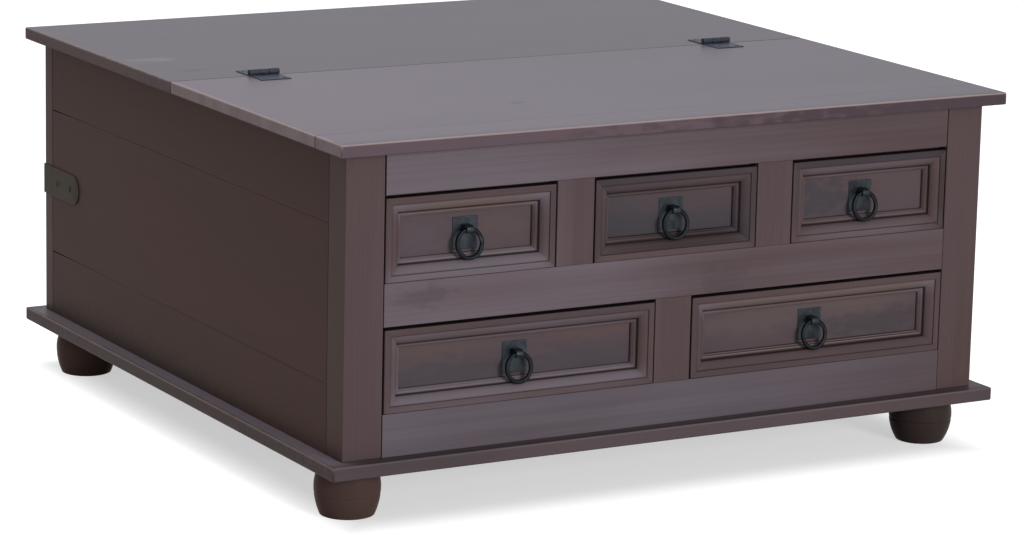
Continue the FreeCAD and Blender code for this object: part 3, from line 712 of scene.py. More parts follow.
@dataclass(frozen=True)
class StainedPine:
    """Pine under a dark satin stain.

    Growth rings lie round the pith and swirl past knots. Stain takes lighter or darker by the board's
    tone and in wide clouds, darker in late wood, gathers in hollows, and is rubbed through on the
    arrises. On the drawers' mouldings the recesses also take painted shade, the beads painted
    highlights, and the top strips' highest tones a painted warm light. Where the tone is highest it
    is duller.

    Attributes:
        name: Name of the finish.
        stain: Colour of tone 0.
        light: Colour of tone 1.
        dark: Colour of tone -1.
        glow: Colour of tone 2; on the drawers' top strips a painted warm light on the ovolos that look down.
        warm: Colour of the warm clouds.
        late: Colour of late wood, knots and hollows, and of the painted shade in the mouldings' recesses.
        worn_and_painted_light: Colour of rubbed arrises, and of the painted highlights on the mouldings' beads.
        streaks: Strength of the streaks along the fibres.
        clouds: How far the tone wanders in wide clouds.
        bias: Added to the tone.
        rise: Two heights, and how far the tone climbs between them.
        rings: Growth rings per metre.
        gloss: Specular level.
        rough: Roughness.
        marks: Single marks.
        relief: Strength of the bump.
    """

    name: str
    stain: Colour = (0.100, 0.068, 0.071)
    light: Colour = (0.160, 0.130, 0.150)
    dark: Colour = (0.058, 0.046, 0.052)
    glow: Colour = (0.158, 0.114, 0.108)
    warm: Colour = (0.120, 0.076, 0.070)
    late: Colour = (0.020, 0.013, 0.013)
    worn_and_painted_light: Colour = (0.27, 0.21, 0.20)
    streaks: float = 0.5
    clouds: float = 0.3
    bias: float = 0.0
    rise: Spot = (0.0, 1.0, 0.0)
    rings: float = 170.0
    gloss: float = 0.035
    rough: float = 0.42
    marks: tuple[Mark, ...] = ()
    relief: float = 0.22

    def material(self, source: Fibres) -> bpy.types.Material:
        """Lay the nodes.

        Args:
            source: Where the fibres come from.

        Returns:
            The material.
        """
        s = Shading(f"{self.name}_{source.name.lower()}")
        place = s.fibres(source)
        knot = s.knots(place, (1.9, 4.4, 4.4))
        near, core = s.between(knot, 0.30, 0.0), s.between(knot, 0.045, 0.015)
        sway = s.about(s.noise(place, (1.5, 7.0, 7.0), 3.0), 0.016)
        late = s.late_wood(place, sway, self.rings, 0.25, s.math("MULTIPLY", near, 0.02))
        streak = s.noise(place, (1.1, 42.0, 42.0), 4.0, 0.55)
        fibre = s.noise(place, (14.0, 800.0, 800.0), 3.0, 0.6)
        cloud = s.noise(place, (3.0, 8.0, 8.0), 2.0, 0.4)
        drift = s.noise(place, (2.3, 6.0, 5.0), 2.0, 0.4)
        wander = s.between(drift, 0.30, 0.70, self.bias - self.clouds, self.bias + self.clouds)
        tone = s.math("ADD", s.own("tone"), wander)
        tone = s.math("ADD", tone, s.between(streak, 0.25, 0.75, -0.35 * self.streaks, 0.35 * self.streaks))
        if self.rise[2]:
            climb = s.between(s.split(s.place())[2], *self.rise[:2], -self.rise[2] / 2, self.rise[2] / 2)
            tone = s.math("ADD", tone, climb)
        colour = s.mix(s.between(tone, 0.0, 1.2), self.stain, self.light)
        colour = s.mix(s.between(tone, 0.0, -1.2), colour, self.dark)
        # Tones from 1.3 up mix towards the glow colour, which on the drawers' top strips is painted warm light.
        colour = s.mix(s.between(tone, 1.3, 2.2), colour, self.glow)
        colour = s.mix(s.between(tone, -1.2, -3.0), colour, self.late)
        colour = s.mix(s.between(cloud, 0.45, 0.75, 0.0, 0.35), colour, self.warm)
        colour = s.mix(s.math("MULTIPLY", late, 0.10 * self.streaks), colour, self.late)
        colour = s.mix(s.between(fibre, 0.35, 0.85, 0.0, 0.10), colour, self.late)
        colour = s.mix(s.math("MULTIPLY", core, 0.5), colour, self.late)
        for mark in self.marks:
            colour = s.mix(self.strength(s, mark), colour, mark.colour)
        # Positive edge values lighten to the worn colour, which is a painted highlight on the mouldings' beads;
        # negative ones darken with stain, and in the mouldings' recesses with painted shade.
        edge = s.own("edge")
        ragged = s.math("ADD", edge, s.about(streak, 0.5))
        rub_and_highlight = s.between(ragged, 0.15, 1.2, 0.0, 0.8)
        sunk = s.between(s.math("MULTIPLY", edge, -1.0), 0.05, 1.0, 0.0, 0.92)
        colour = s.mix(rub_and_highlight, colour, self.worn_and_painted_light)
        colour = s.mix(sunk, colour, self.late)
        patchy = s.between(streak, 0.3, 0.7, -0.05 * self.streaks, 0.05 * self.streaks)
        dull = s.math("ADD", patchy, s.math("MULTIPLY", rub_and_highlight, 0.15))
        dull = s.math("ADD", dull, s.between(tone, 1.3, 2.4, self.rough, 0.95))
        s.dress({"Base Color": colour, "Roughness": dull, "Specular IOR Level": self.gloss})
        relief = s.math("ADD", s.math("MULTIPLY", late, 0.4), s.math("MULTIPLY", fibre, 0.5))
        s.bump(s.math("ADD", relief, s.math("MULTIPLY", streak, 0.6)), 0.0003, self.relief)
        return s.material

    def strength(self, s: Shading, mark: Mark) -> bpy.types.NodeSocket:
        """How strong a mark is at each place: full in its middle and gone at its reach.

        Args:
            s: The nodes.
            mark: The mark.

        Returns:
            The share's socket.
        """
        place = s.place()
        share = tuple(1 / reach for reach in mark.reach)
        away = s.vector("LENGTH", s.vector("MULTIPLY", s.vector("SUBTRACT", place, mark.place), share))
        ragged = s.math("ADD", away, s.between(s.noise(place, (40.0, 90.0, 90.0)), 0.3, 0.7, -0.3, 0.3))
        return s.between(ragged, 1.0, 0.2, 0.0, mark.share)


@dataclass(frozen=True)
class BarePine:
    """Planed pine without a finish: pale early wood, honey late wood and a few knots.

    Attributes:
        name: Name of the finish.
        early: Colour of early wood.
        late: Colour of late wood.
        knot: Colour of knots.
        rings: Growth rings per metre.
        gloss: Specular level.
    """

    name: str
    early: Colour = (0.52, 0.36, 0.20)
    late: Colour = (0.34, 0.19, 0.085)
    knot: Colour = (0.12, 0.055, 0.025)
    rings: float = 150.0
    gloss: float = 0.3

    def material(self, source: Fibres) -> bpy.types.Material:
        """Lay the nodes.

        Args:
            source: Where the fibres come from.

        Returns:
            The material.
        """
        s = Shading(f"{self.name}_{source.name.lower()}")
        place = s.fibres(source)
        sway = s.about(s.noise(place, (1.4, 8.0, 8.0), 3.0), 0.03)
        late = s.late_wood(place, sway, self.rings, 0.3)
        fibre = s.noise(place, (14.0, 700.0, 700.0), 3.0, 0.6)
        core = s.between(s.knots(place, (2.8, 6.0, 6.0)), 0.065, 0.03)
        colour = s.mix(s.math("MULTIPLY", late, 0.55), self.early, self.late)
        colour = s.mix(s.between(fibre, 0.35, 0.75, 0.0, 0.25), colour, self.late)
        colour = s.mix(s.math("MULTIPLY", core, 0.8), colour, self.knot)
        dull = s.between(fibre, 0.3, 0.7, 0.55, 0.72)
        s.dress({"Base Color": colour, "Roughness": dull, "Specular IOR Level": self.gloss})
        s.bump(s.math("ADD", late, fibre), 0.0003, 0.3)
        return s.material


@dataclass(frozen=True)
class BlackIron:
    """Blackened iron: blue-black scale with faint hammer marks, rubbed grey on its edges; on the ring, a
    painted highlight along the wire and painted shade behind it.

    Attributes:
        name: Name of the finish.
        scale: Main colour.
        smoke: Colour of the darker patches.
        rubbed_and_painted_light: Colour of rubbed edges, and on the ring its painted highlight.
        metal: Share of bare metal.
        gloss: Specular level.
        soot_and_shade: Colour in hollows, and on the ring the painted shade over the back and outer side of the
            wire.
    """

    name: str
    scale: Colour = (0.031, 0.037, 0.043)
    smoke: Colour = (0.021, 0.024, 0.028)
    rubbed_and_painted_light: Colour = (0.085, 0.098, 0.108)
    metal: float = 0.9
    gloss: float = 0.1
    soot_and_shade: Colour = (0.006, 0.007, 0.009)

    def material(self) -> bpy.types.Material:
        """Lay the nodes.

        Returns:
            The material.
        """
        s = Shading(self.name)
        place = s.place()
        patch = s.noise(place, (110.0, 110.0, 110.0), 3.0)
        dent = s.noise(place, (260.0, 260.0, 260.0), 1.0)
        grit = s.noise(place, (1800.0, 1800.0, 1800.0), 2.0)
        colour = s.mix(s.between(patch, 0.38, 0.70), self.scale, self.smoke)
        # On the ring the edge values paint a highlight along the wire's inner front and shade over its back and
        # outer side.
        edge = s.own("edge")
        rub_and_highlight = s.between(s.math("ADD", edge, s.about(patch, 1.0)), 0.6, 1.3, 0.0, 0.6)
        sunk = s.between(s.math("MULTIPLY", edge, -1.0), 0.1, 1.0, 0.0, 0.9)
        colour = s.mix(sunk, s.mix(rub_and_highlight, colour, self.rubbed_and_painted_light), self.soot_and_shade)
        dull = s.between(grit, 0.3, 0.7, 0.36, 0.50)
        s.dress({"Base Color": colour, "Roughness": dull})
        s.dress({"Metallic": self.metal, "Specular IOR Level": self.gloss})
        s.bump(s.math("ADD", dent, s.math("MULTIPLY", grit, 0.25)), 0.0005, 0.45)
        return s.material


PINE = StainedPine("stained_pine", marks=(
    Mark((-0.365, -0.472, 0.288), (0.060, 0.02, 0.022), (0.060, 0.052, 0.058), 0.35),
    Mark((0.075, -0.472, 0.270), (0.050, 0.02, 0.030), (0.060, 0.052, 0.058), 0.30),
))
POST_PINE = StainedPine("post_pine", dark=(0.084, 0.050, 0.043))
BASE_PINE = StainedPine(
    "base_pine", (0.101, 0.077, 0.086), (0.148, 0.127, 0.148), late=(0.024, 0.020, 0.022),
    marks=tuple(Mark((x, 0.0, 0.075), (0.004, 1.2, 0.05), (0.068, 0.042, 0.038), 0.9) for x in (-0.503, 0.503)),
)  # fmt: skip
SIDE_PINE = StainedPine(
    "side_pine", (0.090, 0.053, 0.046), (0.104, 0.066, 0.058), (0.068, 0.050, 0.044),
    warm=(0.098, 0.053, 0.045), streaks=0.3, gloss=0.015,
    # This mark is painted shade along the foot of the left side, and over the tops of the left feet under the
    # base.
    marks=(Mark((-0.480, 0.20, 0.080), (0.05, 0.60, 0.05), (0.050, 0.046, 0.040), 0.5),),
)  # fmt: skip
TOP_PINE = StainedPine(
    "top_pine", (0.072, 0.061, 0.083), (0.118, 0.098, 0.127), (0.060, 0.052, 0.062), (0.122, 0.086, 0.098),
    (0.084, 0.070, 0.090), worn_and_painted_light=(0.42, 0.33, 0.32), streaks=0.08, clouds=0.10, gloss=0.15, relief=0.06,
    marks=(
        Mark((0.42, -0.498, 0.4845), (0.60, 0.006, 0.05), (0.058, 0.041, 0.048), 0.75),
        *(Mark((x, 0.27, 0.4845), (0.004, 0.50, 0.05), (0.140, 0.106, 0.100), 0.95) for x in (-0.500, 0.500)),
        Mark((-0.450, 0.170, 0.493), (0.045, 0.020, 0.008), (0.16, 0.15, 0.18), 0.5),
        Mark((-0.152, -0.317, 0.493), (0.016, 0.007, 0.008), (0.035, 0.028, 0.036), 0.6),
    ),
)  # fmt: skip
IRON = BlackIron("black_iron")
HINGE_IRON = BlackIron("hinge_iron", (0.050, 0.054, 0.074), (0.040, 0.043, 0.060), metal=0.2, gloss=0.03)
# The ring's rubbed colour is its painted highlight, and its soot colour the painted shade on the back of the
# wire.
RING_IRON = BlackIron("ring_iron", (0.013, 0.015, 0.018), (0.009, 0.010, 0.012), (0.12, 0.13, 0.14))
STRAP_IRON = BlackIron(
    "brown_iron", (0.080, 0.067, 0.054), (0.070, 0.058, 0.047), (0.066, 0.055, 0.046), metal=0.04, gloss=0.01
)


@dataclass
class Workshop:
    """The finishes in use, and the one way that a piece is made from surfaces."""

    pine: bpy.types.Material = field(default_factory=lambda: PINE.material(Fibres.OWN))
    post: bpy.types.Material = field(default_factory=lambda: POST_PINE.material(Fibres.OWN))
    base: bpy.types.Material = field(default_factory=lambda: BASE_PINE.material(Fibres.OWN))
    side: bpy.types.Material = field(default_factory=lambda: SIDE_PINE.material(Fibres.OWN))
    top: bpy.types.Material = field(default_factory=lambda: TOP_PINE.material(Fibres.OWN))
    iron: bpy.types.Material = field(default_factory=IRON.material)
    hinge_iron: bpy.types.Material = field(default_factory=HINGE_IRON.material)
    ring_iron: bpy.types.Material = field(default_factory=RING_IRON.material)
    brown_iron: bpy.types.Material = field(default_factory=STRAP_IRON.material)

    def piece(
        self, name: str, parts: list[Surface], material: bpy.types.Material, body: str, node: str, slot: str
    ) -> None:
        """Join surfaces into one piece that stands for a CAD node.

        Args:
            name: Name of the piece.
            parts: Its surfaces.
            material: Its finish.
            body: The CAD body that it rides on.
            node: The CAD node that it stands for.
            slot: The record's material slot; not used.
        """
        starts = np.cumsum([0] + [len(part.points) for part in parts])
        groups = [group + start for part, start in zip(parts, starts) for group in part.faces]
        faces = [row for group in groups for row in group.tolist()]
        mesh = bpy.data.meshes.new(name)
        mesh.from_pydata(np.concatenate([part.points for part in parts]), [], faces)
        for label, kind, key, values in (
            ("grain", "FLOAT_VECTOR", "vector", [part.grain for part in parts]),
            ("edge", "FLOAT", "value", [part.edge for part in parts]),
            ("tone", "FLOAT", "value", [part.tone for part in parts]),
        ):
            store = mesh.attributes.new(label, kind, "POINT")
            store.data.foreach_set(key, np.concatenate(values).astype(np.float32).ravel())
        mesh.shade_smooth()
        mesh.set_sharp_from_angle(angle=SHARP_ANGLE)
        mesh.materials.append(material)
        piece = linked(name, mesh)
        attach(piece, body)
        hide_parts(node)
        log.info("%s: %d faces, rides on %s, for %s", name, len(faces), body, node)

    def wood(
        self, name: str, boards: list[Board], body: str, node: str, finish: bpy.types.Material | None = None
    ) -> None:
        """A piece of stained boards.

        Args:
            name: Name of the piece.
            boards: Its boards.
            body: The CAD body that it rides on.
            node: The CAD node that it stands for.
            finish: Its finish, if not the plain stained pine.
        """
        surfaces = [board.surface() for board in boards]
        self.piece(name, surfaces, finish or self.pine, body, node, "stained_pine")


@dataclass
class BunFeet:
    """Four turned feet under the base board.

    A profile of two arcs that meet at the belly, with a fine V groove under it, is turned about the
    foot's own upright axis.
    """

    places: tuple[Pair, ...] = ((-0.442, -0.413), (0.442, -0.413), (-0.442, 0.413), (0.442, 0.413))
    height: float = 0.066
    belly: float = 0.043
    belly_height: float = 0.037
    soles: tuple[float, float, float, float] = (0.035, 0.032, 0.035, 0.035)
    top: float = 0.034
    tones: tuple[float, float, float, float] = (-0.6, -1.9, 0.4, -0.2)
    grooves: tuple[Pair, ...] = ((0.028, 0.0006), (0.031, 0.0011), (0.028, 0.0005), (0.028, 0.0005))

    def profile(self, number: int) -> tuple[Array, Array]:
        """Radius and height up the foot, and the wear.

        Args:
            number: Which foot; no two were turned quite alike.

        Returns:
            Rows of radius and height, and one wear value a row.
        """
        groove_height, groove_depth = self.grooves[number]
        height = np.concatenate([
            [0.0, 0.0006, 0.002],
            np.linspace(0.005, groove_height - 0.003, 12),
            groove_height + np.array([-0.0018, -0.0009, 0.0, 0.0009, 0.0018]),
            np.linspace(groove_height + 0.003, self.height - 0.001, 18),
            [self.height],
        ])
        end = np.where(height < self.belly_height, self.soles[number], self.top)
        span = np.where(height < self.belly_height, self.belly_height, self.height - self.belly_height)
        centre = (self.belly**2 - end**2 - span**2) / (2 * (self.belly - end))
        radius = centre + np.sqrt((self.belly - centre) ** 2 - (height - self.belly_height) ** 2)
        away = np.abs(height - groove_height)
        radius = radius - groove_depth * np.clip(1 - away / 0.0018, 0, 1)
        radius[0] -= 0.0012
        edge = np.where(away < 0.0005, -0.15, 0.0)
        return np.stack([radius, height], -1), edge

    def build(self, shop: Workshop) -> None:
        """Turn the four feet.

        Args:
            shop: The finishes.
        """
        feet = []
        for number, (x, y) in enumerate(self.places):
            profile, edge = self.profile(number)
            grid = turned(profile, (x, y, 0.0), UP, 72)
            foot = tube(grid, edge[:, None], self.tones[number])
            spot = foot.points - np.array([x - 0.012, y + 0.018, 0.7 * number])
            foot.grain = spot[:, [2, 0, 1]]
            feet.append(foot)
        shop.piece("turned_feet", feet, shop.side, "carcass", "bun_feet", "stained_pine")


@dataclass
class Carcass:
    """Base board, posts, rails, stiles and the boards of sides and back.

    Attributes:
        rails: Node, lower and upper height, gap at the ends, and lightness at both ends of each rail.
        stiles: Middle, lower and upper height of each stile.
        joints: Heights at which the boards of sides and back meet.
        rear_crack: Gap between those boards and the rear posts.
        shut: Lightness of the stain on narrow faces that lie in a joint.
    """

    half_width: float = 0.480
    half_depth: float = 0.472
    low: float = 0.084
    high: float = 0.476
    base_low: float = 0.066
    base_reach: Pair = (0.503, 0.492)
    base_round: float = 0.002
    post_width: float = 0.055
    front_post: float = 0.046
    rear_post: float = 0.026
    rail_thickness: float = 0.024
    rails: tuple[tuple[str, float, float, float, Pair], ...] = (
        ("bottom_rail", 0.084, 0.140, 0.0004, (0.9, 0.1)),
        ("middle_rail", 0.252, 0.308, 0.0004, (1.3, 0.1)),
        ("top_rail", 0.420, 0.476, 0.0012, (1.2, 0.25)),
    )
    stile_width: float = 0.054
    stiles: tuple[tuple[float, float, float], ...] = (
        (-0.150667, 0.308, 0.420),
        (0.150667, 0.308, 0.420),
        (0.0, 0.140, 0.252),
    )
    joints: Pair = (0.175, 0.381)
    side_thickness: float = 0.020
    back_thickness: float = 0.018
    rear_crack: float = 0.0014
    shut: Pair = (-1.2, -1.2)

    def build(self, shop: Workshop) -> None:
        """Make every board of the carcass.

        Args:
            shop: The finishes.
        """
        self.build_base(shop)
        self.build_front(shop)
        self.build_sides(shop)

    def build_base(self, shop: Workshop) -> None:
        """Make the base board with its rounded rim.

        Args:
            shop: The finishes.
        """
        x, y = self.base_reach
        # The halo darkens the base's front and back ledges: painted shade along with stain.
        base = Board(
            (-x, -y, self.base_low), (x, y, self.low), Axis.X, Seed.BASE, self.base_round, tone=(-0.3, -0.4),
            rub_and_highlight=(0.5, 0.9, 0.0), under=0.2, halo=(0.55, 0.55), ledge=1.6,
        )
        shop.wood("base_panel", [base], "carcass", "base_board", shop.base)

    def build_front(self, shop: Workshop) -> None:
        """Make posts, rails and stiles.

        Args:
            shop: The finishes.
        """
        front, inner = -self.half_depth, self.half_width - self.post_width
        for number, (word, side) in enumerate((("left", -1), ("right", 1))):
            x = sorted((side * inner, side * self.half_width))
            for place, y in (
                ("front", (front, front + self.front_post)),
                ("rear", (self.half_depth - self.rear_post, self.half_depth)),
            ):
                post = Board(
                    (x[0], y[0], self.low), (x[1], y[1], self.high), Axis.Z, Seed.POSTS + number + len(place),
                    tone=(-0.1, -0.3), rub_and_highlight=(0.35, 0.0, 0.0), rim=self.shut,
                )  # fmt: skip
                shop.wood(f"{place}_corner_{word}", [post], "carcass", f"{place}_post_{word}", shop.post)
        back = front + self.rail_thickness
        for number, (node, low, high, gap, tone) in enumerate(self.rails):
            rail = Board(
                (-inner + gap, front, low), (inner - gap, back, high), Axis.X, Seed.RAILS + number, 0.0008,
                tone=tone, rub_and_highlight=(0.2, 0.0, -0.8), rim=self.shut,
            )  # fmt: skip
            shop.wood(f"front_{node}", [rail], "carcass", node, shop.base if number == 0 else None)
        half = self.stile_width / 2
        stiles = [
            Board(
                (x - half, front, low), (x + half, back, high), Axis.Z, Seed.STILES + number, 0.0006,
                tone=(0.15, 0.15), rub_and_highlight=(0.2, 0.0, 0.0),
            )  # fmt: skip
            for number, (x, low, high) in enumerate(self.stiles)
        ]
        shop.wood("front_stiles", stiles, "carcass", "drawer_stiles")

    def build_sides(self, shop: Workshop) -> None:
        """Make the three boards of each side and of the back.

        Args:
            shop: The finishes.
        """
        levels = (self.low, *self.joints, self.high)
        rows = list(zip(levels[:-1], levels[1:]))
        front, back = -self.half_depth + self.front_post, self.half_depth - self.rear_post - self.rear_crack
        for word, side in (("left", -1), ("right", 1)):
            x = sorted((side * self.half_width, side * (self.half_width - self.side_thickness)))
            boards = [
                Board(
                    (x[0], front, low), (x[1], back, high), Axis.Y, Seed.SIDES + 5 * side + number, 0.0003,
                    rub_and_highlight=(0.0, 0.0, -0.8), shrink=0.002 * (number < 2),
                )  # fmt: skip
                for number, (low, high) in enumerate(rows)
            ]
            shop.wood(f"{word}_boards", boards, "carcass", f"side_boards_{word}", shop.side)
        inner = self.half_width - self.post_width - self.rear_crack
        boards = [
            Board(
                (-inner, self.half_depth - self.back_thickness, low), (inner, self.half_depth, high), Axis.X,
                Seed.BACK + number, 0.0004, rub_and_highlight=(0.0, 0.0, -0.8), shrink=0.001 * (number < 2),
            )  # fmt: skip
            for number, (low, high) in enumerate(rows)
        ]
        shop.wood("rear_boards", boards, "carcass", "back_boards", shop.side)


@dataclass
class Top:
    """The fixed front half of the top, glued up from two strips, and the lid behind it."""

    reach: Pair = (0.500, 0.498)
    low: float = 0.476
    high: float = 0.493
    seam: float = 0.0008
    rim: float = 0.002
    seam_ease: float = 0.0008
    front_glue: tuple[Pair, ...] = ((-0.426, 1.0),)

    def build(self, shop: Workshop) -> None:
        """Make both halves.

        Args:
            shop: The finishes.
        """
        x, y = self.reach
        front = Board(
            (-x, -y, self.low), (x, -self.seam, self.high), Axis.X, Seed.FRONT_TOP, self.rim,
            (self.rim, 0.0003, self.seam_ease, self.rim), (1.0, 0.05, 1.0, 1.0), self.front_glue,
            tone=(1.15, 0.6), rub_and_highlight=(0.9, 1.3, 0.76), under=0.15, rim=(2.5, 2.5), halo=(0.4, 0.0),
        )  # fmt: skip
        lid = Board(
            (-x, self.seam, self.low), (x, y, self.high), Axis.X, Seed.LID, self.rim,
            (0.0003, self.rim, self.rim, self.seam_ease), (0.05, 1.0, 1.0, 1.0),
            rub_and_highlight=(0.4, 0.6, 0.0), under=0.15, rim=(2.5, 2.5),
        )  # fmt: skip
        shop.wood("top_front_half", [front], "carcass", "fixed_top", shop.top)
        shop.wood("top_lid", [lid], "lid", "lid_panel", shop.top)


@dataclass(frozen=True)
class DrawerLook:
    """What sets one drawer apart from the others.

    Attributes:
        tones: Lightness of border and of ovolo with bead, for the bottom, left, top and right strip; a top
            strip's ovolo above about 1.3 takes painted warm light.
        aside: How far the frame sits off the opening's middle.
        shift: How far the pull was fixed off the drawer's middle.
        rubbed_and_painted_light: How strong the painted highlights on the bottom strip's bead are, and the
            painted dark line between them.
        bias: Lightness of the panel.
        climb: How much lighter the panel gets upwards.
        marks: Marks on the panel.
    """

    tones: tuple[Pair, ...]
    aside: float
    shift: float
    rubbed_and_painted_light: float
    bias: float
    climb: float
    marks: tuple[Mark, ...] = ()


def panel_mark(x: float, z: float, width: float, height: float, colour: Colour, share: float) -> Mark:
    """A mark on a drawer's panel, with its reach to each side and up and down."""
    return Mark((x, PANEL_FACE, z), (width, PANEL_REACH, height), colour, share)


# A top strip's ovolo tone above about 1.3 paints warm light on that downward face.
LOOKS = {
    "upper_left": DrawerLook(
        ((1.5, 1.4), (0.4, 0.3), (-0.3, 2.0), (-0.2, 0.3)),
        aside=0.0, shift=-0.0012, rubbed_and_painted_light=1.0, bias=0.22, climb=0.2,
        marks=(
            panel_mark(-0.367, 0.353, 0.070, 0.040, (0.102, 0.082, 0.094), 0.6),
            panel_mark(-0.250, 0.367, 0.060, 0.032, (0.116, 0.080, 0.078), 0.5),
        ),
    ),
    "upper_middle": DrawerLook(
        ((-0.2, -2.3), (-1.2, -0.9), (-0.7, -0.1), (-0.8, -0.7)),
        aside=0.0007, shift=0.0015, rubbed_and_painted_light=0.95, bias=-0.92, climb=1.0,
    ),
    "upper_right": DrawerLook(
        ((0.6, 0.6), (-0.8, -0.4), (-1.0, 0.6), (-2.4, -0.5)),
        aside=0.0, shift=-0.0045, rubbed_and_painted_light=1.1, bias=-0.20, climb=0.4,
        marks=(panel_mark(0.232, 0.362, 0.080, 0.045, (0.056, 0.052, 0.060), 0.75),),
    ),
    "lower_left": DrawerLook(
        ((0.5, 1.4), (0.1, 0.3), (-0.3, 0.8), (-0.1, 0.1)),
        aside=0.0007, shift=-0.0010, rubbed_and_painted_light=1.05, bias=0.0, climb=1.0,
        marks=(
            panel_mark(-0.110, 0.217, 0.100, 0.020, (0.118, 0.074, 0.070), 0.7),
            panel_mark(-0.330, 0.214, 0.100, 0.016, (0.112, 0.075, 0.073), 0.6),
            panel_mark(-0.310, 0.182, 0.130, 0.026, (0.070, 0.062, 0.070), 0.7),
            panel_mark(-0.120, 0.187, 0.120, 0.024, (0.074, 0.062, 0.068), 0.6),
        ),
    ),
    "lower_right": DrawerLook(
        ((-0.2, -0.2), (-0.1, 0.1), (-0.1, 2.2), (0.1, 0.3)),
        aside=0.0007, shift=-0.0025, rubbed_and_painted_light=1.75, bias=-0.35, climb=0.8,
        marks=(
            panel_mark(0.130, 0.206, 0.120, 0.026, (0.122, 0.087, 0.086), 0.6),
            panel_mark(0.300, 0.207, 0.070, 0.018, (0.122, 0.088, 0.084), 0.6),
            panel_mark(0.345, 0.184, 0.130, 0.028, (0.066, 0.055, 0.060), 0.75),
        ),
    ),
}  # fmt: skip


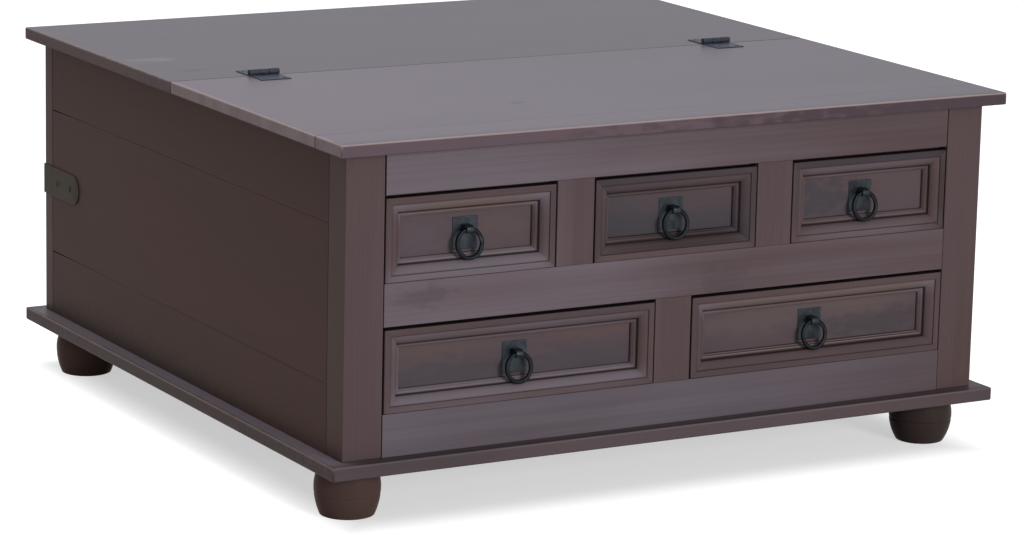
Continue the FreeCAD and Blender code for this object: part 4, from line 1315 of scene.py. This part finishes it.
@dataclass
class DrawerFront:
    """One drawer's moulded frame.

    Attributes:
        name: The drawer's name.
        seed: Start of its own chance values.
        look: What sets it apart.
        drop: How far it has sunk in the opening.
    """

    name: str
    seed: int
    look: DrawerLook
    drop: float = 0.0008
    border: float = 0.0083
    quirk: float = 0.001
    ovolo_width: float = 0.0122
    ovolo_depth: float = 0.008
    step: float = 0.0007
    bead: Pair = (0.007, 0.0075)
    ease: float = 0.0011
    mitre_gap: float = 0.00008
    arris: float = 0.0005
    wave: float = 0.0001

    def section(self) -> tuple[Array, Array]:
        """The moulding's closed section, from its outer arris over border, quirk, ovolo, step and bead.

        Returns:
            Rows of distance from the outer edge and depth behind the front face, and one value a row of wear,
            painted highlight and painted shade.
        """
        arris = self.arris
        floor, inner = self.quirk + self.ovolo_depth, self.border + self.ovolo_width
        depth, width = floor + self.step + self.bead[1], inner + self.bead[0]
        turn_cos, turn_sin = arc(0, 90, 4)
        lip_cos, lip_sin = arc(90, 0, 4)
        swell = (self.ovolo_depth**2 + self.ovolo_width**2) / (2 * self.ovolo_depth)
        shares = np.array([0, 0.07, 0.16, 0.3, 0.45, 0.6, 0.75, 0.88, 0.95, 1.0])
        angle = math.asin(self.ovolo_width / swell) * shares
        bend = np.radians([0, 8, 18, 30, 38, 44, 50, 58, 70, 82, 90])
        round_off = 1 - 0.05 * np.exp(-((bend - bend[5]) / 0.07) ** 2)
        away = np.concatenate([
            self.ease * (1 - turn_cos), [self.ease + 0.0015, self.border - 0.0025],
            self.border - arris + arris * lip_cos, self.border + swell * np.sin(angle),
            inner + self.bead[0] * round_off * np.sin(bend), [width, width / 2, 0.0, 0.0, 0.0],
        ])  # fmt: skip
        rear = [depth + 0.00001, depth, depth, depth / 2, self.ease + 0.002]
        behind = np.concatenate([
            self.ease * (1 - turn_sin), [0.0, 0.0],
            arris - arris * lip_sin, self.quirk + swell * (1 - np.cos(angle)),
            depth - self.bead[1] * round_off * np.cos(bend), rear,
        ])  # fmt: skip
        # Wear round the section. The bead's peaks are painted highlights with a painted dark line between them.
        # The -1 runs at the ovolo's end and at the bead's ends are painted shade in those recesses, with stain
        # gathered there too. The quirk's dark line is stain and painted shade.
        wear_and_painted_light = np.concatenate([
            [-0.4, 0.1, 0.3, 0.2], [0.0, 0.0],
            [-0.1, -0.2, -0.4, -0.7], [-0.8, -0.45, -0.1, 0.1, 0.2, 0.2, 0.05, -0.5, -0.9, -1.0],
            [-1.0, -0.9, -0.1, 0.6, 0.2, -0.5, 0.2, 0.6, 0.0, -0.9, -1.0], [0.0, 0.0, -1.0, -1.0, -1.0],
        ])  # fmt: skip
        return np.stack([away, behind], -1), wear_and_painted_light

    def settle(self, wear_and_painted_light: Array, turn: int) -> Array:
        """Wear and painted light of one strip.

        The bottom's bead has its own share of the painted highlights and of the painted dark line between them,
        the right's bead highlights are weaker, and the left's dark lines are fainter.

        Args:
            wear_and_painted_light: Wear, painted highlights and painted shade round the section.
            turn: 0 for the bottom strip, 1 left, 2 top, 3 right.

        Returns:
            The same values round this strip's section.
        """
        if turn == 0:
            return np.where((wear_and_painted_light > 0.4) | (wear_and_painted_light == -0.5), self.look.rubbed_and_painted_light * wear_and_painted_light, wear_and_painted_light)
        if turn == 3:
            return np.where(wear_and_painted_light > 0.4, 0.3 * wear_and_painted_light, wear_and_painted_light)
        return np.maximum(wear_and_painted_light, -0.45) if turn == 1 else wear_and_painted_light

    def build(self, shop: Workshop) -> None:
        """Carry the section along the four sides of the drawer front, mitred at the corners.

        Point (s, m) of a strip lies at a share s, from -1 to 1, of half the strip's length less the
        section's distance m from the outer edge, so that the ends run at 45 degrees.

        Args:
            shop: The finishes.
        """
        low, high = (np.array(corner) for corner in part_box(f"{self.name}_drawer_moulding"))
        middle, half = (low + high) / 2 + np.array([self.look.aside, 0.0, -self.drop]), (high - low) / 2
        section, wear_and_painted_light = self.section()
        shades = np.array(self.look.tones)
        chance = np.random.default_rng(self.seed)
        strips = []
        for turn, (along, across, sign) in enumerate(((0, 2, 1), (2, 0, 1), (0, 2, -1), (2, 0, -1))):
            share = np.linspace(-1, 1, max(19, int(half[along] / 0.008)))
            run = share[:, None] * (half[along] - section[:, 0] - self.mitre_gap)
            dip = self.wave * (1 + np.sin(run * chance.uniform(15, 40) + chance.uniform(0, 6)))
            grid = np.empty(run.shape + (3,))
            grid[..., along] = middle[along] + run
            grid[..., across] = middle[across] - sign * (half[across] - section[:, 0])
            grid[..., 1] = low[1] + section[:, 1] + dip * (section[:, 1] < 0.012)
            strip = tube(grid, self.settle(wear_and_painted_light, turn))
            shade = shades[turn]
            ends = [(shade + shades[other]) / 2 - shade for other in ((1, 3) if along == 0 else (0, 2))]
            near = [np.exp(-half[along] * (1 + way * share) / 0.016)[:, None, None] for way in (1, -1)]
            shade = shade + near[0] * ends[0] + near[1] * ends[1]
            strip.tone = np.where(section[:, 0] < self.border + 1e-6, shade[..., 0], shade[..., 1]).ravel()
            depth = np.broadcast_to(section[:, 1], run.shape) + chance.uniform(0.02, 0.05)
            side = np.broadcast_to(section[:, 0], run.shape) + chance.uniform(-0.03, 0.03)
            strip.grain = np.stack([run + chance.uniform(0, 6), side, depth], -1).reshape(-1, 3)
            strips.append(strip)
        node = f"{self.name}_drawer_moulding"
        shop.piece(f"{self.name}_frame", strips, shop.pine, f"{self.name}_drawer", node, "stained_pine")


@dataclass
class RingPull:
    """One drawer's iron plate with its staple, and the ring that hangs in it.

    Attributes:
        name: The drawer's name.
        seed: Start of its own chance values.
        axle: A place on the axis of the ring's joint, which the wire's middle line passes through.
        shift: How far the pull was fixed off the drawer's middle.
        lean: Degrees that the ring leans forward.
        slim: Width of the ring as a share of its height.
    """

    name: str
    seed: int
    axle: Spot
    shift: float
    plate_thickness: float = 0.0015
    staple_width: float = 0.010
    staple_thickness: float = 0.0014
    eye: float = 0.0037
    wire: float = 0.0029
    lean: float = 6.5
    slim: float = 0.96

    def build(self, shop: Workshop) -> None:
        """Make plate, staple and ring.

        Args:
            shop: The finishes.
        """
        low, high = (np.array(corner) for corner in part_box(f"{self.name}_pull_plate"))
        ring_low, ring_high = (np.array(corner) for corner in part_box(f"{self.name}_pull_ring"))
        aside = np.array([self.shift, 0.0, 0.0])
        pivot = np.array(self.axle) + aside
        radius = (ring_high[0] - ring_low[0]) / 2 - self.wire
        upward = np.array([0.0, math.sin(math.radians(self.lean)), math.cos(math.radians(self.lean))])
        centre = pivot - radius * upward
        plate_front = high[1] - self.plate_thickness
        plate = Board(
            (low[0] + self.shift, plate_front, low[2]), tuple(high + aside), Axis.Z, self.seed, 0.0005,
            wave=0.00025, rub_and_highlight=(0.5, 0.5, 0.0),
        ).surface()  # fmt: skip
        parts = [plate, self.staple(pivot, plate_front)]
        hoop = [self.hoop(centre, radius, upward)]
        name, plate_node, ring_node = self.name, f"{self.name}_pull_plate", f"{self.name}_pull_ring"
        shop.piece(f"{name}_plate", parts, shop.iron, f"{name}_drawer", plate_node, "black_iron")
        shop.piece(f"{name}_hoop", hoop, shop.ring_iron, f"{name}_ring", ring_node, "black_iron")

    def staple(self, pivot: Array, plate_front: float) -> Surface:
        """A flat strip carried out from the plate, round the ring's wire and back.

        Args:
            pivot: Middle of the eye.
            plate_front: Where the plate's face is.

        Returns:
            The strip's surface.
        """
        radius = self.eye + self.staple_thickness / 2
        cosine, sine = arc(90, 270, 17)
        legs = np.array([plate_front - pivot[1] + 0.0005, 0.004, 0.002])
        y = np.concatenate([legs, radius * cosine, legs[::-1]])
        z = np.concatenate([np.full(3, radius), radius * sine, np.full(3, -radius)])
        lift_y = np.concatenate([np.zeros(3), cosine, np.zeros(3)])
        lift_z = np.concatenate([np.ones(3), sine, -np.ones(3)])
        path = pivot + np.stack([np.zeros_like(y), y, z], -1)
        lift = np.stack([np.zeros_like(y), lift_y, lift_z], -1)
        return flat_strip((self.staple_width, self.staple_thickness, 0.0004), path, RIGHT, lift)

    def hoop(self, centre: Array, radius: float, upward: Array) -> Surface:
        """A round wire carried along a slightly slim circle, its thickness swelling a little along the way.

        Args:
            centre: Middle of the ring.
            radius: Radius of the wire's middle line.
            upward: Unit direction from the middle to the pivot.

        Returns:
            The ring's surface.
        """
        turn = np.linspace(0, 2 * np.pi, 96, endpoint=False)
        aside = np.array(RIGHT)
        spoke = np.sin(turn)[:, None] * aside + np.cos(turn)[:, None] * upward
        path = centre + radius * (self.slim * np.sin(turn)[:, None] * aside + np.cos(turn)[:, None] * upward)
        cosine, sine = arc(0, 360 - 360 / 24, 24)
        chance = np.random.default_rng(self.seed)
        thick = self.wire * (1 - 0.02 * (1 + np.sin(3 * turn + chance.uniform(0, 6))))
        out = spoke[:, None, :] * (thick[:, None] * cosine)[..., None]
        ahead = np.cross(aside, upward) * (thick[:, None] * sine)[..., None]
        # Painted highlight along the wire's inner front, painted shade over its back and outer side.
        worn_and_painted_light = 0.85 * sine - 0.75 * cosine - 0.40
        return tube(path[:, None, :] + out + ahead, worn_and_painted_light, closed=True)


@dataclass
class LidHinges:
    """The two butt hinges on the seam: leaves with curled knuckles, pins and slotted screws.

    Attributes:
        places: Middles of the hinges along the seam.
        axis: Height of the pins.
        leaf_gap: Distance of a leaf's flat part from the pin's axis.
        screws: Place along and distance from the seam of each screw in a leaf.
    """

    places: Pair = (-0.363, 0.353)
    top: float = 0.493
    width: float = 0.044
    reach: float = 0.040
    leaf: float = 0.0012
    leaf_gap: float = 0.0047
    axis: float = 0.4975
    knuckle: float = 0.0042
    knuckle_length: float = 0.0144
    knuckle_gap: float = 0.0007
    pin: float = 0.0020
    screws: tuple[Pair, ...] = ((-0.015, 0.032), (0.015, 0.032), (0.0, 0.017))
    head: float = 0.0038
    dome: float = 0.0005
    slot_width: float = 0.0011
    slot_depth: float = 0.0007
    pin_dome: float = 0.0005

    def build(self, shop: Workshop) -> None:
        """Make the leaves, pins and screws of both hinges.

        Args:
            shop: The finishes.
        """
        half = self.width / 2
        inner = half - self.knuckle_length
        fixed = ((-half, -inner), (inner, half))
        moving = ((-inner + self.knuckle_gap, inner - self.knuckle_gap),)
        sides = (("fixed", -1, fixed, "carcass"), ("lid", 1, moving, "lid"))
        for word, end, knuckles, body in sides:
            leaves = [part for x in self.places for part in self.one_leaf(x, end, knuckles)]
            node = f"hinge_{word}_leaves"
            shop.piece(f"hinge_{word}_side", leaves, shop.hinge_iron, body, node, "black_iron")
            heads = [
                self.screw(x + along, end * away, 0.6 * number + x)
                for x in self.places
                for number, (along, away) in enumerate(self.screws)
            ]
            node = f"hinge_{word}_screws"
            shop.piece(f"hinge_{word}_screw_heads", heads, shop.hinge_iron, body, node, "black_iron")
        pins = [self.one_pin(x) for x in self.places]
        shop.piece("hinge_rods", pins, shop.hinge_iron, "carcass", "hinge_pins", "black_iron")

    def one_leaf(self, x: float, end: int, knuckles: tuple[Pair, ...]) -> list[Surface]:
        """A flat leaf, and the strips that curl from it round the pin.

        Each strip's middle line runs flat to below the pin and then turns round it, so that the strip
        lies outside the pin by its own thickness.

        Args:
            x: Middle of the hinge.
            end: -1 for the front leaf, 1 for the lid's.
            knuckles: Start and end of each knuckle from the middle.

        Returns:
            The leaf and its knuckles.
        """
        y = sorted((end * self.leaf_gap, end * self.reach))
        plate = Board(
            (x - self.width / 2, y[0], self.top), (x + self.width / 2, y[1], self.top + self.leaf),
            Axis.X, Seed.HINGES, 0.0004, wave=0.0001,
        )  # fmt: skip
        parts = [plate.surface()]
        radius = self.knuckle - self.leaf / 2
        cosine, sine = arc(-90, 235, 40)
        path_y = np.concatenate([[self.leaf_gap + 0.001, 0.003, 0.0015], -radius * cosine])
        path_z = np.concatenate([
            np.array([self.leaf / 2, self.leaf / 2 + 0.0001, self.leaf / 2 + 0.0002]) + self.top,
            self.axis + radius * sine,
        ])
        lift_y = np.concatenate([np.zeros(3), -cosine])
        lift_z = np.concatenate([-np.ones(3), sine])
        for start, finish in knuckles:
            path = np.stack([np.full_like(path_y, x + (start + finish) / 2), end * path_y, path_z], -1)
            lift = np.stack([np.zeros_like(lift_y), end * lift_y, lift_z], -1)
            parts.append(flat_strip((finish - start, self.leaf, 0.0003), path, RIGHT, lift))
        return parts

    def one_pin(self, x: float) -> Surface:
        """A round pin with domed ends.

        Args:
            x: Middle of the hinge.

        Returns:
            Its surface.
        """
        half = self.width / 2
        cosine, sine = arc(0, 75, 5)
        radius = np.concatenate([self.pin * cosine[::-1], self.pin * cosine])
        height = np.concatenate([-half - self.pin_dome * sine[::-1], half + self.pin_dome * sine])
        grid = turned(np.stack([radius, height], -1), (x, 0.0, self.axis), RIGHT, 24)
        edge = np.concatenate([sine[::-1], sine])
        return tube(grid, edge[:, None])

    def screw(self, x: float, y: float, turn: float) -> Surface:
        """A slotted screw head.

        A shallow dome is turned about the screw's axis, and sinks by the slot's depth where a point lies
        within half the slot's width of a line through the middle.

        Args:
            x: Place along the hinge.
            y: Place across it.
            turn: Angle of the slot.

        Returns:
            The head's surface.
        """
        share = np.array([1.0, 1.0, 0.97, 0.9, 0.75, 0.6, 0.45, 0.3, 0.22, 0.16, 0.1, 0.04])
        height = self.leaf + self.dome * (1 - share**2)
        height[0] = 0.0004
        grid = turned(np.stack([self.head * share, height], -1), (x, y, self.top), UP, 64)
        along = (grid[..., 0] - x) * math.cos(turn) + (grid[..., 1] - y) * math.sin(turn)
        slot = (np.abs(along) < self.slot_width / 2) & (share[:, None] < 0.99)
        grid[..., 2] -= self.slot_depth * slot
        return tube(grid, np.where(slot, -1.0, 0.5))


@dataclass
class CornerStraps:
    """Iron straps round the two rear corners, with domed nails."""

    half_width: float = 0.480
    half_depth: float = 0.472
    level: float = 0.277
    height: float = 0.042
    length: float = 0.122
    thickness: float = 0.002
    bend: float = 0.0012
    nails: Pair = (0.046, 0.091)
    nail_head: float = 0.005
    nail_rise: float = 0.002

    def build(self, shop: Workshop) -> None:
        """Make both straps and their nails.

        Args:
            shop: The finishes.
        """
        straps = [self.one_strap(side) for side in (-1, 1)]
        shop.piece("rear_straps", straps, shop.brown_iron, "carcass", "corner_straps", "black_iron")
        places = [(side, along, back) for side in (-1, 1) for along in self.nails for back in (False, True)]
        heads = [self.one_nail(*place) for place in places]
        shop.piece("strap_nail_heads", heads, shop.brown_iron, "carcass", "strap_nails", "black_iron")

    def one_strap(self, side: int) -> Surface:
        """A flat strip carried along the side, round the corner and along the back, with half-round ends.

        Its height at a distance d from an end is the chord of a circle as wide as the strap, and the
        full height past that circle's middle.

        Args:
            side: -1 for the left corner, 1 for the right.

        Returns:
            The strap's surface.
        """
        bend, end = self.bend, self.height / 2
        tip = end * (1 - np.cos(np.linspace(0.12, np.pi / 2, 14)))
        leg = np.concatenate([tip, np.linspace(end + 0.008, self.length - 0.004, 10)])
        cosine, sine = arc(0, 90, 7)
        mid = self.thickness / 2
        share = np.sqrt(1 - ((end - np.minimum(leg, end)) / end) ** 2)
        x = np.concatenate([np.full(len(leg), mid), mid - bend * (1 - cosine), leg[::-1] - self.length])
        y = np.concatenate([leg - self.length, mid - bend + bend * sine, np.full(len(leg), mid)])
        out_x = np.concatenate([np.ones(len(leg)), cosine, np.zeros(len(leg))])
        out_y = np.concatenate([np.zeros(len(leg)), sine, np.ones(len(leg))])
        path = np.stack([side * (self.half_width + x), self.half_depth + y, np.full_like(x, self.level)], -1)
        lift = np.stack([side * out_x, out_y, np.zeros_like(x)], -1)
        swell = np.concatenate([share, np.ones(len(cosine)), share[::-1]])
        return flat_strip((self.height, self.thickness, 0.0006), path, UP, lift, swell)

    def one_nail(self, side: int, along: float, back: bool) -> Surface:
        """A domed nail head, turned about the nail's axis.

        Args:
            side: -1 for the left corner, 1 for the right.
            along: Distance from the corner.
            back: Whether it is on the back's leg.

        Returns:
            The head's surface.
        """
        cosine, sine = arc(0, 86, 8)
        radius = np.concatenate([[self.nail_head * 0.98], self.nail_head * cosine])
        height = np.concatenate([[-0.0004], self.nail_rise * sine])
        if back:
            centre = (side * (self.half_width - along), self.half_depth + self.thickness, self.level)
            axis = (0.0, 1.0, 0.0)
        else:
            centre = (side * (self.half_width + self.thickness), self.half_depth - along, self.level)
            axis = (float(side), 0.0, 0.0)
        grid = turned(np.stack([radius, height], -1), centre, axis, 32)
        return tube(grid, np.linspace(-0.6, 0.9, len(radius))[:, None])


@dataclass
class Inside:
    """The CAD nodes that stay as they are and only get a finish.

    Attributes:
        along_y: Nodes of bare pine whose fibres run from front to back.
        panel_rims: Height of the moulding over a panel's lower and upper edge.
    """

    along_y: tuple[str, ...] = ("drawer_runners", "drawer_guides", "drawer_kickers", "lid_cleats")
    panel_rims: Pair = (0.026, 0.028)

    def dress(self, nodes: dict[str, bpy.types.Object]) -> None:
        """Give each node that is still shown its finish.

        Args:
            nodes: The CAD nodes by name.
        """
        bare = BarePine("bare_pine")
        lengthwise, crosswise, upright = (
            bare.material(source) for source in (Fibres.ALONG_Y, Fibres.ALONG_X, Fibres.ALONG_Z)
        )
        plywood = BarePine("plywood", (0.50, 0.37, 0.23), (0.36, 0.24, 0.13), (0.22, 0.13, 0.07), 60.0)
        sheet = plywood.material(Fibres.ALONG_X)
        coat = {"trunk_divider": crosswise, "foot_dowels": upright}
        coat |= {node: lengthwise for node in self.along_y}
        for name, look in LOOKS.items():
            low, high = (corner[2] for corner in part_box(f"{name}_drawer_panel"))
            rise = (low + self.panel_rims[0], high - self.panel_rims[1], look.climb)
            finish = StainedPine(
                f"{name}_panel", (0.098, 0.072, 0.079), (0.140, 0.104, 0.103), (0.060, 0.055, 0.064),
                streaks=0.3, clouds=0.4, bias=look.bias, rise=rise, marks=look.marks,
            )  # fmt: skip
            coat[f"{name}_drawer_panel"] = finish.material(Fibres.ALONG_X)
            coat[f"{name}_drawer_walls"] = lengthwise
            coat[f"{name}_drawer_bottom"] = sheet
        for node, material in coat.items():
            mesh = nodes[node].data
            mesh.materials.clear()
            mesh.materials.append(material)
            log.info("%s: finished in %s", node, material.name)


@dataclass
class Studio:
    """Pale floor, soft lamps and the camera.

    Attributes:
        camera_place: Where the camera stands.
        azimuth: Degrees that it stands off the middle of the front.
        elevation: Degrees that it looks down.
        roll: Degrees that it is turned about its own axis.
        lens: Focal length in millimetres on a sensor 36 mm wide.
        floor_reach: Half the floor's width.
        stand: Half the width and depth of the ground under the object.
        shade: The two greys of the floor.
        glow: How bright the floor seems under the object and away from it; the dimmer value under the object is
            a painted shadow.
        glow_reach: Distance over which it brightens.
        ambient: Strength of the light from all round.
        sky: Its colour.
        lamps: Name, place, target, width and power in watts of each lamp.
    """

    camera_place: Spot = (-2.6705, -4.7298, 1.3845)
    azimuth: float = -29.694
    elevation: float = 12.330
    roll: float = 1.278
    lens: float = 3969.1 / 1024 * 36.0
    floor_reach: float = 30.0
    stand: Pair = (0.43, 0.445)
    shade: Pair = (0.49, 0.51)
    glow: Pair = (0.54, 0.86)
    glow_reach: float = 0.09
    ambient: float = 0.40
    sky: Colour = (0.94, 0.97, 1.0)
    lamps: tuple[tuple[str, Spot, Spot, float, float], ...] = (
        ("key", (0.8, -5.6, 1.5), (0.0, 0.0, 0.25), 1.6, 164.0),
        ("over", (-0.8, 0.9, 4.5), (0.0, 0.0, 0.0), 2.6, 112.0),
    )

    def build(self) -> None:
        """Set floor, lamps, world and camera."""
        bpy.context.scene.view_settings.view_transform = "Standard"
        self.build_floor()
        self.build_world()
        for lamp in self.lamps:
            self.build_lamp(*lamp)
        self.build_camera()

    def build_floor(self) -> None:
        """Lay the floor, white to the eye away from the object and where no shadow falls, with a painted shadow
        in its glow under the object.
        """
        mesh = bpy.data.meshes.new("floor")
        corners = self.floor_reach * np.array([[-1, -1, 0], [1, -1, 0], [1, 1, 0], [-1, 1, 0]], float)
        mesh.from_pydata(corners, [], [[0, 1, 2, 3]])
        s = Shading("pale_floor")
        place = s.place()
        first, second = ((shade, shade, shade) for shade in self.shade)
        colour = s.mix(s.noise(place, (3.0, 3.0, 3.0), 2.0), first, second)
        s.dress({"Base Color": colour, "Roughness": 0.9, "Specular IOR Level": 0.0})
        part = s.split(place)
        beside = [s.math("SUBTRACT", s.math("ABSOLUTE", part[n]), edge) for n, edge in enumerate(self.stand)]
        # Painted shadow: the floor's glow to the eye is dimmer over the ground under the object and brightens
        # away from it.
        lift = s.between(s.math("MAXIMUM", *beside), 0.0, self.glow_reach, *self.glow)
        glow, both = s.nodes.new("ShaderNodeEmission"), s.nodes.new("ShaderNodeAddShader")
        s.feed(glow.inputs["Strength"], s.math("MULTIPLY", s.seen(), lift))
        s.feed(both.inputs[0], s.shader.outputs["BSDF"])
        s.feed(both.inputs[1], glow.outputs["Emission"])
        s.feed(s.output.inputs["Surface"], both.outputs["Shader"])
        mesh.materials.append(s.material)
        linked("floor", mesh)

    def build_world(self) -> None:
        """Light from all round, and white where it is seen."""
        world = bpy.data.worlds.new("studio")
        bpy.context.scene.world = world
        world.use_nodes = True
        s = Nodes(world.node_tree)
        blend, output = s.nodes.new("ShaderNodeMixShader"), s.nodes.new("ShaderNodeOutputWorld")
        s.feed(blend.inputs[0], s.seen())
        for number, (colour, strength) in enumerate(((self.sky, self.ambient), (WHITE, 1.0)), 1):
            light = s.nodes.new("ShaderNodeBackground")
            s.feed(light.inputs["Color"], colour)
            s.feed(light.inputs["Strength"], strength)
            s.feed(blend.inputs[number], light.outputs["Background"])
        s.feed(output.inputs["Surface"], blend.outputs["Shader"])

    def build_lamp(self, name: str, place: Spot, target: Spot, width: float, power: float) -> None:
        """Hang one square soft lamp.

        Args:
            name: The lamp's name.
            place: Where it hangs.
            target: What it points at.
            width: Its width.
            power: Its power in watts.
        """
        data = bpy.data.lights.new(name, "AREA")
        data.size = width
        data.energy = power
        lamp = linked(name, data)
        lamp.location = place
        lamp.rotation_euler = (Vector(target) - Vector(place)).to_track_quat("-Z", "Y").to_euler()

    def build_camera(self) -> None:
        """Set the camera at the place, turn and lens that the photograph was taken with."""
        side, rise, roll = (math.radians(angle) for angle in (self.azimuth, self.elevation, self.roll))
        back = Vector((math.sin(side) * math.cos(rise), -math.cos(side) * math.cos(rise), math.sin(rise)))
        level = (-back).cross(Vector(UP)).normalized()
        upright = level.cross(-back)
        right = level * math.cos(roll) + upright * math.sin(roll)
        up = upright * math.cos(roll) - level * math.sin(roll)
        data = bpy.data.cameras.new("camera")
        data.sensor_fit = "HORIZONTAL"
        data.sensor_width = 36.0
        data.lens = self.lens
        data.clip_end = 100.0
        camera = linked("camera", data)
        turn = Matrix((right, up, back)).transposed().to_4x4()
        camera.matrix_world = Matrix.Translation(self.camera_place) @ turn
        bpy.context.scene.camera = camera


def main() -> None:
    """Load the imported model, dress it and set the studio."""
    logging.basicConfig(level=logging.INFO, format="%(name)s %(message)s")
    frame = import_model()
    shop = Workshop()
    BunFeet().build(shop)
    Carcass().build(shop)
    Top().build(shop)
    axles = {joint["child"]: tuple(joint["pos_m"]) for joint in frame["joints"] if joint["type"] == "hinge"}
    for number, (name, look) in enumerate(LOOKS.items()):
        DrawerFront(name, Seed.FRAMES + number, look).build(shop)
        RingPull(name, Seed.PULLS + number, axles[f"{name}_ring"], look.shift).build(shop)
    LidHinges().build(shop)
    CornerStraps().build(shop)
    Inside().dress(frame["nodes"])
    Studio().build()


if __name__ == "__main__":
    main()
